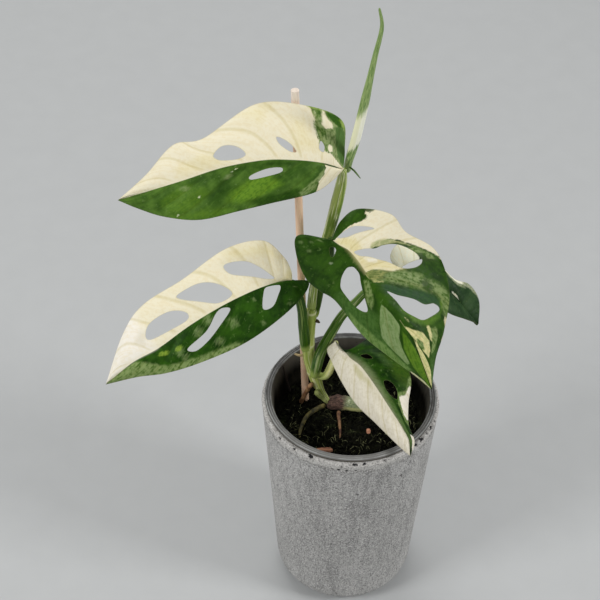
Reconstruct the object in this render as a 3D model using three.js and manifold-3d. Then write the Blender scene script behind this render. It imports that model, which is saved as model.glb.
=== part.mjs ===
// A young variegated monstera in a clear nursery pot, which stands in a tall cement cover pot.
// Millimetres, +Z up. The origin is the centre of the cover pot's underside, and -Y is the front.

import * as THREE from 'three';
import { mergeVertices } from 'three/addons/utils/BufferGeometryUtils.js';
import Module from 'manifold-3d';

// Driving dimensions

const GAP = 0.35; // clearance between pieces that touch

const COVER_HEIGHT = 184;
const COVER_TOP_RADIUS = 64.2;
const COVER_FOOT_RADIUS = 51.6;
const COVER_FOOT_ROUNDING = 16;
const COVER_LIP = 6;
const COVER_EDGE = 2; // rounding of the lip's two edges
const COVER_FLOOR = 12;
const COVER_INNER_CORNER = 4;

const NURSERY_RIM_RADIUS = 62;
const NURSERY_RIM_TOP = 187.3;
const NURSERY_FOOT_RADIUS = 45;
const NURSERY_DEPTH = 115;
const NURSERY_WALL = 1.3;
const NURSERY_RIM_EDGE = 1;
const DRAIN_RADIUS = 4;
const DRAIN_COUNT = 6;
const DRAIN_RING_RADIUS = 28;
const POT_FACETS = 48;

const MIX_TOP = 162;
const MIX_ROUGHNESS = 1.2;

const STICK_RADIUS = 2.6;
const STICK_TOP = [-42.8, 34, 430];
const STICK_AT_MIX = [-32.5, 18, 162];
const STICK_DEPTH = 80;
const STICK_SIDES = 12;

const NODE_SWELLING = 0.3; // how far the stem bulges where a leaf or a root leaves it
const STALK_STUB = 3; // a leaf stalk or a root leaves the stem square to it for this length

const BLADE = 0.9; // thickness of a leaf blade
const BLADE_CROWN = 2; // how far each half of a blade bulges upwards
const BLADE_STEPS = 28; // facets from joint to tip
const HALF_STEPS = 4; // facets from midrib to margin

const wasm = await Module();
wasm.setup();

const plant = new THREE.Group();

// Geometry helpers

// A closed solid ready for cutting, from any closed geometry.
function solid(geometry) {
  geometry.deleteAttribute('normal');
  geometry.deleteAttribute('uv');
  const merged = mergeVertices(geometry, 1e-4);
  const index = merged.index.array;
  const corners = [];
  for (let i = 0; i < index.length; i += 3) {
    const [a, b, c] = [index[i], index[i + 1], index[i + 2]];
    const collapsed = a === b || b === c || c === a;
    if (!collapsed) corners.push(a, b, c);
  }
  const vertProperties = new Float32Array(merged.attributes.position.array);
  const triVerts = new Uint32Array(corners);
  return new wasm.Manifold(new wasm.Mesh({ numProp: 3, vertProperties, triVerts }));
}

// The largest body of a solid, without the loose scraps that a cut can leave.
function largest(body) {
  const bodies = body.decompose();
  bodies.sort((a, b) => b.volume() - a.volume());
  return bodies[0];
}

function addPiece(name, body, colour, roughness, place = new THREE.Matrix4()) {
  const { vertProperties, triVerts } = body.getMesh();
  const geometry = new THREE.BufferGeometry();
  geometry.setAttribute('position', new THREE.BufferAttribute(new Float32Array(vertProperties), 3));
  geometry.setIndex(new THREE.BufferAttribute(new Uint32Array(triVerts), 1));
  geometry.computeVertexNormals();
  const material = new THREE.MeshStandardMaterial({ color: colour, roughness, metalness: 0 });
  const mesh = new THREE.Mesh(geometry, material);
  mesh.name = name;
  place.decompose(mesh.position, mesh.quaternion, mesh.scale);
  plant.add(mesh);
  return mesh;
}

function curveThrough(points) {
  const vectors = points.map((point) => new THREE.Vector3(...point));
  return new THREE.CatmullRomCurve3(vectors, false, 'catmullrom', 0.5);
}

// A round stalk: a cylinder bent along a curve. radii are spread evenly from its start to its end.
// extra makes it thicker and longer all round, for the hole that it stands in.
function stalk(points, radii, { sides = 10, steps = 16, extra = 0 } = {}) {
  const curve = curveThrough(points);
  const frames = curve.computeFrenetFrames(steps);
  const geometry = new THREE.CylinderGeometry(1, 1, 1, sides, steps);
  const position = geometry.attributes.position;
  const vertex = new THREE.Vector3();
  for (let i = 0; i < position.count; i += 1) {
    const along = position.getY(i) + 0.5;
    const station = Math.round(along * steps);
    const radius = valueAlong(radii, along) + extra;
    vertex.copy(curve.getPointAt(along));
    if (station === 0) vertex.addScaledVector(frames.tangents[0], -extra);
    if (station === steps) vertex.addScaledVector(frames.tangents[steps], extra);
    vertex.addScaledVector(frames.normals[station], position.getX(i) * radius);
    vertex.addScaledVector(frames.binormals[station], -position.getZ(i) * radius);
    position.setXYZ(i, vertex.x, vertex.y, vertex.z);
  }
  return solid(geometry);
}

function valueAlong(values, along) {
  const x = along * (values.length - 1);
  const i = Math.min(Math.floor(x), values.length - 2);
  return THREE.MathUtils.lerp(values[i], values[i + 1], x - i);
}

// A shape turned round the upright axis from a profile of [radius, height] points.
function turned(profile, facets) {
  const points = profile.map(([radius, height]) => new THREE.Vector2(radius, height));
  const geometry = new THREE.LatheGeometry(points, facets);
  geometry.rotateX(Math.PI / 2);
  return geometry;
}

// The points of a quarter of an ellipse round a centre, from one angle to another.
function roundedEdge(centre, radii, from, to, steps) {
  const arc = new THREE.EllipseCurve(...centre, ...radii, from, to, to < from);
  return arc.getPoints(steps).map((point) => [point.x, point.y]);
}

// Seeded random numbers from 0 to 1
let seed = 20;
function random() {
  seed = (seed * 16807) % 2147483647;
  return seed / 2147483647;
}

// Cover pot: cast cement, with a thick rounded lip and a rounded foot

const coverSlope = (COVER_TOP_RADIUS - COVER_FOOT_RADIUS) / COVER_HEIGHT;
const coverRadius = (height) => COVER_FOOT_RADIUS + coverSlope * height;
const coverWell = COVER_TOP_RADIUS - COVER_LIP;
const coverInnerFoot = COVER_FOOT_RADIUS - COVER_LIP;
const footFlat = COVER_FOOT_RADIUS - COVER_FOOT_ROUNDING;

const coverProfile = [
  [0, 0],
  ...roundedEdge([footFlat, COVER_FOOT_ROUNDING],
    [coverRadius(COVER_FOOT_ROUNDING) - footFlat, COVER_FOOT_ROUNDING], -Math.PI / 2, 0, 5),
  ...roundedEdge([COVER_TOP_RADIUS - COVER_EDGE, COVER_HEIGHT - COVER_EDGE],
    [COVER_EDGE, COVER_EDGE], 0, Math.PI / 2, 3),
  ...roundedEdge([coverWell + COVER_EDGE / 2, COVER_HEIGHT - COVER_EDGE / 2],
    [COVER_EDGE / 2, COVER_EDGE / 2], Math.PI / 2, Math.PI, 2),
  [coverInnerFoot, COVER_FLOOR + COVER_INNER_CORNER],
  [coverInnerFoot - COVER_INNER_CORNER, COVER_FLOOR],
  [0, COVER_FLOOR],
];
addPiece('cover_pot', solid(turned(coverProfile, POT_FACETS)), 0xa5a39e, 0.9);

// Nursery pot: thin clear plastic, hung by its rim on the cover pot's lip, with drain holes

const nurseryFoot = NURSERY_RIM_TOP - NURSERY_DEPTH;
const rimUnderside = COVER_HEIGHT + GAP;
const nurseryNeck = coverWell - 2 * GAP;
const nurserySlope = (nurseryNeck - NURSERY_FOOT_RADIUS) / (rimUnderside - nurseryFoot);
const nurseryInside = (height) =>
  NURSERY_FOOT_RADIUS + nurserySlope * (height - nurseryFoot) - NURSERY_WALL;
const nurseryFloor = nurseryFoot + NURSERY_WALL;

const nurseryProfile = [
  [DRAIN_RADIUS, nurseryFoot],
  [NURSERY_FOOT_RADIUS, nurseryFoot],
  [nurseryNeck, rimUnderside],
  [NURSERY_RIM_RADIUS, rimUnderside],
  [NURSERY_RIM_RADIUS, NURSERY_RIM_TOP - NURSERY_RIM_EDGE],
  [NURSERY_RIM_RADIUS - NURSERY_RIM_EDGE, NURSERY_RIM_TOP],
  [nurseryInside(NURSERY_RIM_TOP) + NURSERY_RIM_EDGE, NURSERY_RIM_TOP],
  [nurseryInside(NURSERY_RIM_TOP), NURSERY_RIM_TOP - NURSERY_RIM_EDGE],
  [nurseryInside(nurseryFloor), nurseryFloor],
  [DRAIN_RADIUS, nurseryFloor],
  [DRAIN_RADIUS, nurseryFoot],
];
let nurseryPot = solid(turned(nurseryProfile, POT_FACETS));
const drillLength = 4 * NURSERY_WALL;
const drillSides = 8;
for (let i = 0; i < DRAIN_COUNT; i += 1) {
  const angle = (i / DRAIN_COUNT) * 2 * Math.PI;
  const [x, y] = [DRAIN_RING_RADIUS * Math.cos(angle), DRAIN_RING_RADIUS * Math.sin(angle)];
  const drain = new THREE.CylinderGeometry(DRAIN_RADIUS, DRAIN_RADIUS, drillLength, drillSides);
  drain.rotateX(Math.PI / 2);
  drain.translate(x, y, nurseryFoot);
  nurseryPot = nurseryPot.subtract(solid(drain));
}
addPiece('nursery_pot', nurseryPot, 0x6f7372, 0.3);

// Old cutting: a short length of last year's stem, lying on the mix with its cut end to the right

const CUTTING_SUNK = 2;
const CUTTING_RADIUS = 6;
const cuttingHeight = MIX_TOP + CUTTING_RADIUS - CUTTING_SUNK;
const cuttingPath = [
  [-17, 8, cuttingHeight], [-6, 9, cuttingHeight], [5, 9, cuttingHeight], [13, 8, cuttingHeight],
];
const cuttingRadii = [4, 5.8, 5.2, 5.4, 5];
const cuttingShape = { steps: 10 };
addPiece('old_cutting', stalk(cuttingPath, cuttingRadii, cuttingShape), 0x6b4a35, 0.8);

// Main stem: the green shoot that grew from the cutting, thicker at its three nodes

const stemPath = [
  [-16.4, 8, 171], [-18.2, 8, 174.8], [-21.6, 8.2, 181.8], [-24.3, 9.8, 188], [-27.6, 12.6, 199],
  [-30.5, 14.5, 210.5], [-31, 15, 219.5], [-30.5, 15, 231.5], [-30, 15, 244.5], [-29.7, 15, 258],
];
const stemRadii = [1.9, 2.3, 3.9, 4.7, 4.6, 4.4, 4.2, 3.8, 3.7, 4.1, 3.3];
addPiece('main_stem', stalk(stemPath, stemRadii, { steps: 22 }), 0x6f8f4a, 0.55);

// The first two points of a shoot that leaves the stem square to it, at a height and towards a
// heading in degrees from +X.
function fromStem(height, heading) {
  const closeEnough = 1e-4;
  const curve = curveThrough(stemPath);
  let [low, high] = [0, 1];
  while (high - low > closeEnough) {
    const middle = (low + high) / 2;
    if (curve.getPointAt(middle).z < height) low = middle;
    else high = middle;
  }
  const angle = THREE.MathUtils.degToRad(heading);
  const outwards = new THREE.Vector3(Math.cos(angle), Math.sin(angle), 0);
  outwards.projectOnPlane(curve.getTangentAt(low)).normalize();
  const reach = valueAlong(stemRadii, low) + NODE_SWELLING + GAP;
  const start = curve.getPointAt(low).addScaledVector(outwards, reach);
  const next = start.clone().addScaledVector(outwards, STALK_STUB);
  return [start.toArray(), next.toArray()];
}

// Leaf blades
//
// Each blade is drawn in its own frame: X runs from the joint to the tip, Z is the way its upper
// face looks, and Y goes across. left, midrib and right are the same number of [x, y, z] points,
// paired where a side vein starts and where it ends. A hole is a list of [along, across] points in
// percent: along the veins' order from joint to tip, and across from the midrib to the margin.

const LEAVES = {
  top: {
    joint: [-12, -8, 401],
    tip: [-150, -30, 392],
    face: [0.08, -0.69, 0.72],
    left: [[0, 0, 0], [-3, -13, -3], [-4, -31, -5], [16, -42, 0], [48, -47, 3], [83, -30, 6],
      [102, -29, 1], [121, -13, 1], [140, 0, 0]],
    midrib: [[0, 0, 0], [7, -3, 3], [16, -6, 7], [31, -9, 10], [49, -11, 12], [74, -10, 11],
      [99, -6, 6], [119, -3, 3], [140, 0, 0]],
    right: [[0, 0, 0], [8, 6, -1], [21, 12, 1], [47, 15, 5], [67, 17, 5], [92, 19, 3],
      [113, 14, 0], [128, 7, 0], [140, 0, 0]],
    holes: {
      left: [[[63, 40], [60, 55], [57, 42], [55, 17], [58, 12], [62, 22]],
        [[45, 38], [41, 30], [37, 15], [40, 15], [44, 26]],
        [[29, 42], [26, 34], [25, 23], [28, 27]]],
      right: [[[52, 29], [47, 19], [41, 18], [40, 28], [45, 35], [51, 38]]],
    },
    colour: 0xe9dfb4,
  },
  left: {
    joint: [-43, 6, 292],
    tip: [-167, -50, 247],
    face: [0, -0.68, 0.73],
    left: [[0, 0, 0], [-3, -7, -1], [-3, -18, -1], [4, -34, -1], [29, -41, 1], [64, -37, 1],
      [96, -35, -2], [117, -24, 0], [143, 0, 0]],
    midrib: [[0, 0, 0], [5, -3, 3], [13, -5, 5], [28, -7, 7], [50, -8, 7], [75, -7, 6],
      [100, -4, 4], [120, -4, 4], [143, 0, 0]],
    right: [[0, 0, 0], [-10, 5, -4], [-2, 12, -2], [20, 18, 0], [49, 21, 1], [81, 18, 2],
      [104, 13, 1], [122, 6, 2], [143, 0, 0]],
    holes: {
      left: [[[50, 71], [43, 64], [37, 49], [25, 21], [30, 19], [38, 29], [47, 48]],
        [[65, 73], [59, 71], [52, 44], [46, 12], [52, 10], [60, 42]],
        [[78, 40], [75, 56], [68, 53], [63, 30], [63, 14], [70, 18], [77, 26]]],
      right: [[[50, 5], [48, 16], [53, 36], [59, 60], [63, 67], [65, 52], [58, 35], [53, 9]],
        [[30, 6], [24, 20], [31, 48], [36, 64], [39, 55], [35, 25]]],
    },
    colour: 0xece3c0,
  },
  right: {
    joint: [-18, -8, 343],
    tip: [51, -55, 252],
    face: [0.12, -0.85, 0.52],
    left: [[0, 0, 0], [-13, -16, -7], [-3, -24, -12], [16, -28, -17], [28, -25, -16],
      [39, -20, -11], [67, -18, -9], [90, -11, -6], [109, -4, -2], [123, 0, 0]],
    midrib: [[0, 0, 0], [6, 2, 1], [12, 5, 3], [21, 6, 3], [27, 6, 3],
      [34, 6, 3], [51, 7, 4], [73, 8, 4], [95, 6, 3], [123, 0, 0]],
    right: [[0, 0, 0], [-5, 12, -8], [-4, 26, -13], [12, 42, -17], [28, 44, -17],
      [51, 54, -21], [77, 47, -16], [96, 29, -8], [107, 14, -2], [123, 0, 0]],
    holes: {
      left: [[[18, 31], [16, 21], [20, 21], [25, 32], [25, 38]],
        [[37, 29], [36, 16], [40, 11], [51, 14], [61, 38], [64, 54], [59, 71], [50, 64]]],
      right: [[[8, 37], [13, 51], [24, 61], [30, 65], [29, 59], [20, 35], [13, 32]],
        [[27, 8], [32, 25], [38, 38], [41, 54], [46, 73], [53, 76], [57, 75], [58, 60], [56, 44],
          [49, 35], [42, 26], [32, 10]],
        [[64, 11], [66, 22], [68, 42], [70, 57], [70, 74], [72, 83], [74, 65], [75, 49],
          [74, 34], [72, 20], [68, 15]]],
    },
    colour: 0x3f6b35,
  },
  low: {
    joint: [-12, 10, 231],
    tip: [40, -62, 192.5],
    face: [-0.12, -0.5, 0.85],
    left: [[0, 0, 0], [1, -8, -3], [9, -10, -4], [26, -12, -3], [45, -12, -4], [63, -8, -3],
      [82, -4, -1], [90, -2, -1], [97, 0, 0]],
    midrib: [[0, 0, 0], [7, 1, 0], [16, 2, 1], [26, 5, 3], [43, 6, 3], [62, 6, 3],
      [78, 6, 2], [88, 5, 2], [97, 0, 0]],
    right: [[0, 0, 0], [12, 3, 0], [10, 23, -7], [28, 33, -6], [49, 31, -6], [65, 19, -3],
      [78, 11, 0], [90, 8, 0], [97, 0, 0]],
    holes: {
      left: [],
      right: [[[30, 23], [32, 37], [36, 37], [34, 24]],
        [[49, 27], [50, 42], [55, 53], [59, 48], [57, 30], [53, 22]]],
    },
    colour: 0xe6e0cc,
  },
  rear: {
    joint: [29, 27, 284],
    tip: [86, 12, 247],
    face: [0.5, -0.3, 0.8],
    left: [[0, 0, 0], [-2, -7, 2], [3, -14, 7], [15, -16, 10], [30, -15, 12], [44, -13, 10],
      [57, -7, 7], [66, -1, 2], [70, 0, 0]],
    midrib: [[0, 0, 0], [4, 1, 4], [11, 2, 8], [23, 3, 10], [36, 3, 10], [48, 2, 8],
      [58, 1, 5], [65, 0, 2], [70, 0, 0]],
    right: [[0, 0, 0], [-8, 7, -1], [-9, 15, 4], [0, 21, 9], [17, 18, 12], [36, 13, 12],
      [50, 19, 9], [63, 15, 5], [70, 0, 0]],
    holes: {
      left: [[[39, 62], [42, 54], [52, 64], [57, 76], [53, 82], [46, 78]]],
      right: [[[11, 20], [24, 33], [38, 52], [34, 28], [24, 9], [14, 6]]],
    },
    colour: 0x35583a,
  },
};

function leafFrame(leaf) {
  const joint = new THREE.Vector3(...leaf.joint);
  const along = new THREE.Vector3(...leaf.tip).sub(joint).normalize();
  const across = new THREE.Vector3(...leaf.face).cross(along).normalize();
  const face = new THREE.Vector3().crossVectors(along, across);
  return new THREE.Matrix4().makeBasis(along, across, face).setPosition(joint);
}

// A point of the blade: along is 0 at the joint and 1 at the tip. across is -1 at the left margin,
// 0 at the midrib and 1 at the right margin.
function bladePoint(curves, along, across) {
  const margin = across < 0 ? curves.left : curves.right;
  const reach = Math.abs(across);
  const point = curves.midrib.getPoint(along).lerp(margin.getPoint(along), reach);
  point.z += BLADE_CROWN * 4 * reach * (1 - reach);
  return point;
}

function bladeCurves(leaf) {
  return {
    left: curveThrough(leaf.left),
    midrib: curveThrough(leaf.midrib),
    right: curveThrough(leaf.right),
  };
}

// The blade's upper and lower faces are the same triangles, one thickness apart, so they can't cross.
function blade(leaf) {
  const curves = bladeCurves(leaf);
  const columns = 2 * HALF_STEPS + 1;
  const positions = [];
  for (const lift of [BLADE / 2, -BLADE / 2]) {
    for (let i = 0; i <= BLADE_STEPS; i += 1) {
      for (let j = 0; j < columns; j += 1) {
        const ends = i === 0 || i === BLADE_STEPS;
        const across = ends ? 0 : j / HALF_STEPS - 1;
        const point = bladePoint(curves, i / BLADE_STEPS, across);
        positions.push(point.x, point.y, point.z + lift);
      }
    }
  }
  const lower = (BLADE_STEPS + 1) * columns;
  const index = [];
  for (let i = 0; i < BLADE_STEPS; i += 1) {
    const row = i * columns;
    const next = row + columns;
    for (let j = 0; j < columns - 1; j += 1) {
      const [a, b, c, d] = [row + j, next + j, next + j + 1, row + j + 1];
      index.push(a, b, c, a, c, d);
      index.push(lower + a, lower + c, lower + b, lower + a, lower + d, lower + c);
    }
    for (const [a, b] of [[next, row], [row + columns - 1, next + columns - 1]]) {
      index.push(a, b, lower + b, a, lower + b, lower + a);
    }
  }
  const geometry = new THREE.BufferGeometry();
  geometry.setAttribute('position', new THREE.Float32BufferAttribute(positions, 3));
  geometry.setIndex(index);
  return solid(geometry);
}

// A hole's smooth outline, driven straight through the blade.
const PUNCH_LENGTH = 80;
function holePunch(leaf, side, outline) {
  const curves = bladeCurves(leaf);
  const sign = side === 'left' ? -1 : 1;
  const points = outline.map(([along, across]) => {
    const point = bladePoint(curves, along / 100, (sign * across) / 100);
    return new THREE.Vector3(point.x, point.y, 0);
  });
  const smooth = new THREE.CatmullRomCurve3(points, true, 'catmullrom', 0.5);
  const shape = new THREE.Shape(smooth.getSpacedPoints(2 * points.length + 2).slice(1));
  const punch = new THREE.ExtrudeGeometry(shape, { depth: PUNCH_LENGTH, bevelEnabled: false });
  punch.translate(0, 0, -PUNCH_LENGTH / 2);
  return solid(punch);
}

for (const [name, leaf] of Object.entries(LEAVES)) {
  let body = blade(leaf);
  for (const side of ['left', 'right']) {
    for (const outline of leaf.holes[side]) {
      body = body.subtract(holePunch(leaf, side, outline));
    }
  }
  addPiece(`leaf_${name}`, body, leaf.colour, 0.4, leafFrame(leaf));
}

// Leaf stalks: each leaves the stem square to it at a node, turns up, and thins towards its blade.
// path stops short of the blade, and the last point is worked out from the joint.

const PETIOLES = {
  top: {
    path: [[-29.6, 15, 258.6], [-29.3, 15, 264], [-29, 15, 269], [-28, 15, 280.5],
      [-25, 14.5, 302.5], [-18, 13, 337], [-13, 4, 377]],
    radii: [3.3, 3, 3, 3.3, 3.8, 4, 3.6, 2.4],
    colour: 0x8ea35a,
  },
  right: {
    path: [...fromStem(246, 60), [-25.8, 21.5, 252.5], [-25.3, 21, 257.5], [-24.5, 20.5, 265.5],
      [-23.3, 19.5, 276], [-19, 16, 289], [-18, 10, 306.5], [-17.7, 2, 324.5]],
    radii: [1.7, 2.7, 2.9, 2.9, 2.8, 2.6, 2.5, 2.4, 2.2, 2],
    colour: 0x55793a,
  },
  left: {
    path: [...fromStem(225.5, -110), [-33.8, 7, 235], [-35, 7.5, 248], [-36, 8.5, 261.5],
      [-38, 10, 271.5], [-40.5, 10.5, 279]],
    radii: [2.8, 3.9, 3.7, 3.5, 3.3, 2.9, 2.2],
    colour: 0x6f9040,
  },
  rear: {
    path: [...fromStem(200, -75), [-25, 5, 210.5], [-23, 10, 216.5], [-19.7, 13.5, 223.5],
      [-14, 17, 235], [-7.5, 20, 247], [2, 23, 258], [8, 24.5, 265.5], [17.5, 26, 274]],
    radii: [3.2, 4, 3.9, 3.6, 3.3, 3, 2.6, 2.2, 1.8],
    colour: 0x5c8438,
  },
  low: {
    path: [...fromStem(195, -42), [-17.6, 6, 200.3], [-14.7, 8.3, 206], [-11.2, 13, 214]],
    radii: [2.5, 3, 3.1, 2.6, 1.4],
    colour: 0xb5bd74,
  },
};

// Where a stalk stops under its blade: the rim of its end lies nearer than the middle of it
const SEAT_TILT = 0.5;
function seatUnder(leaf, radius) {
  const face = new THREE.Vector3(...leaf.face).normalize();
  const clearance = BLADE / 2 + GAP + SEAT_TILT * radius;
  return new THREE.Vector3(...leaf.joint).addScaledVector(face, -clearance).toArray();
}

for (const [name, { path, radii, colour }] of Object.entries(PETIOLES)) {
  const end = seatUnder(LEAVES[name], radii[radii.length - 1]);
  addPiece(`petiole_${name}`, stalk([...path, end], radii), colour, 0.5);
}

// New leaf: the sixth, still rolled to a spear, rising from the sheath of the top stalk

const spearPath = [
  [-8.9, 2.8, 391], [-8.7, 0.8, 400], [-5, -2, 421], [-2, -2, 440], [1, -2, 461], [4, -1, 481],
  [7, 0, 500], [5, 0, 513],
];
const spearRadii = [2.2, 2.7, 3, 2.9, 2.7, 2, 1.6, 1.3, 0.7];
addPiece('new_leaf', stalk(spearPath, spearRadii, { steps: 20 }), 0x6b8f52, 0.45);

// Roots: from the stem and the cutting into the mix

const ROOTS = {
  brown: {
    path: [...fromStem(190, 235), [-31.5, 9, 179.5], [-35.5, 14, 162], [-36.5, 15.5, 152]],
    radii: [1.6, 1.7, 1.6, 1.6, 1.2],
    colour: 0x8a5a3c,
  },
  pale: {
    path: [...fromStem(184, -100), [-20.5, 2, 180.5], [-18, 1.5, 177.5], [-16.5, 2, 174.5]],
    radii: [1.6, 1.9, 1.8, 1.5, 0.8],
    colour: 0x9fa85c,
  },
  olive: {
    path: [
      [-17.9, 7.8, 166], [-23, 6.5, 163.5], [-29, 2, 163], [-33.5, -6, 163], [-36, -16, 162.5],
      [-37, -26, 157],
    ],
    radii: [1.6, 1.6, 1.4, 1.3, 0.9],
    colour: 0x7d7a3c,
  },
  thin: {
    path: [[-8, 2.2, 166], [-8, -0.5, 163.5], [-7.5, -6, 162.6], [-7, -16, 162.4], [-7.5, -25, 158]],
    radii: [1.2, 1.1, 0.9, 0.7],
    colour: 0x9a6038,
  },
};

const rootShape = { sides: 6, steps: 12 };
for (const [name, { path, radii, colour }] of Object.entries(ROOTS)) {
  addPiece(`root_${name}`, stalk(path, radii, rootShape), colour, 0.7);
}

// Support stick: round softwood, pushed down through the mix

const stickFoot = new THREE.Vector3(...STICK_AT_MIX);
const stickTop = new THREE.Vector3(...STICK_TOP);
const stickLean = stickFoot.clone().sub(stickTop).normalize();
stickFoot.addScaledVector(stickLean, STICK_DEPTH);

function stick(extra) {
  const radius = STICK_RADIUS + extra;
  const length = stickFoot.distanceTo(stickTop) + 2 * extra;
  const geometry = new THREE.CylinderGeometry(radius, radius, length, STICK_SIDES);
  geometry.rotateX(Math.PI / 2);
  geometry.lookAt(stickTop.clone().sub(stickFoot));
  const middle = stickFoot.clone().add(stickTop).multiplyScalar(0.5);
  geometry.translate(middle.x, middle.y, middle.z);
  return solid(geometry);
}
addPiece('support_stick', stick(0), 0xd9b79b, 0.8);

// Potting mix: fills the nursery pot, crumbly on top, with plain holes for the stick and the roots

const CORNER_TOLERANCE = 1e-3;
const mixFloor = nurseryFloor + GAP;
const mixRadius = nurseryInside(MIX_TOP) - GAP;
const mixRings = [1, 0.86, 0.72, 0.57, 0.42, 0.28, 0.14, 0];
const mixProfile = [
  [0, mixFloor],
  [nurseryInside(mixFloor) - GAP, mixFloor],
  ...mixRings.map((share) => [share * mixRadius, MIX_TOP]),
];
const mixGeometry = turned(mixProfile, POT_FACETS);
mixGeometry.deleteAttribute('normal');
mixGeometry.deleteAttribute('uv');
const mix = mergeVertices(mixGeometry, CORNER_TOLERANCE);
const mixPosition = mix.attributes.position;
const nearly = 0.99;
for (let i = 0; i < mixPosition.count; i += 1) {
  const radius = Math.hypot(mixPosition.getX(i), mixPosition.getY(i));
  const loose = mixPosition.getZ(i) > nearly * MIX_TOP && radius < nearly * mixRadius;
  if (loose) mixPosition.setZ(i, MIX_TOP - MIX_ROUGHNESS * random());
}
let mixBody = solid(mix)
  .subtract(stick(GAP))
  .subtract(stalk(cuttingPath, cuttingRadii, { ...cuttingShape, extra: GAP }));
for (const { path, radii } of Object.values(ROOTS)) {
  mixBody = mixBody.subtract(stalk(path, radii, { ...rootShape, extra: GAP }));
}

// Loose bits of bark, settled a little into the mix, and a twig that leans on the nursery pot's wall

const CHIP_SUNK = 0.8;
const CHIP_FACETS = [7, 5];

function chip({ size, at, turn }, extra) {
  const geometry = new THREE.SphereGeometry(0.5, ...CHIP_FACETS);
  geometry.scale(...size.map((length) => length + 2 * extra));
  geometry.rotateZ(turn);
  geometry.translate(at[0], at[1], MIX_TOP - CHIP_SUNK + size[2] / 2);
  return solid(geometry);
}

const CHIPS = {
  bark_chip: { size: [13, 5, 2.8], at: [-19, -33], turn: 0.1 },
  bark_crumb: { size: [5, 4, 3], at: [13.6, -14], turn: 0.6 },
};
for (const [name, bark] of Object.entries(CHIPS)) {
  addPiece(name, chip(bark, 0), 0xb0663c, 0.8);
  mixBody = mixBody.subtract(chip(bark, GAP));
}
addPiece('potting_mix', largest(mixBody), 0x1d1813, 0.95);

const twigPath = [[-44, 24, 162.4], [-47, 25, 176], [-49.5, 24, 190]];
addPiece('twig', stalk(twigPath, [0.9, 0.8, 0.6], { sides: 6, steps: 8 }), 0x2b2420, 0.9);

export default plant;
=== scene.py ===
# A young variegated monstera in a clear nursery pot, which stands in a tall cement cover pot.
# Metres, +Z up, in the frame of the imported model. The studio is laid out in metres, and the pieces
# in millimetres, which times MM are metres.
import math
import random
import bpy
import numpy as np
from mathutils import Matrix, Vector, noise
from mathutils.geometry import delaunay_2d_cdt


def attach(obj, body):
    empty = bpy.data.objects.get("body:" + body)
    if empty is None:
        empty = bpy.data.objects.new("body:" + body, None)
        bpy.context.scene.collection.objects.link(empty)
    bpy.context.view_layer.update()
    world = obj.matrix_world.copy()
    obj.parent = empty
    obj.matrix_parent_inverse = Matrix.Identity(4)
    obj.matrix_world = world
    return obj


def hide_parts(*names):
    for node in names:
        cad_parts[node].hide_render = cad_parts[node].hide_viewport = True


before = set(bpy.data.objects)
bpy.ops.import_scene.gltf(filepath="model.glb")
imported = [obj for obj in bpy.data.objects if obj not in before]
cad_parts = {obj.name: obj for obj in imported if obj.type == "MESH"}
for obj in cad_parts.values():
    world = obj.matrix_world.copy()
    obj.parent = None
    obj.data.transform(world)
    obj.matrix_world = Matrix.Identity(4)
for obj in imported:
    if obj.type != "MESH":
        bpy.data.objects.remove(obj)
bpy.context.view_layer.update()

MM = 0.001


# Studio
# A pale paper floor that runs out of sight, panels of soft light at the front right, front left
# and, widest, behind, and a camera that looks steeply down on the plant.

FLOOR_SIZE, ROOM_GLOW, LOOK_AT = 12, 0.32, (0, 0, 0.25)


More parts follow.
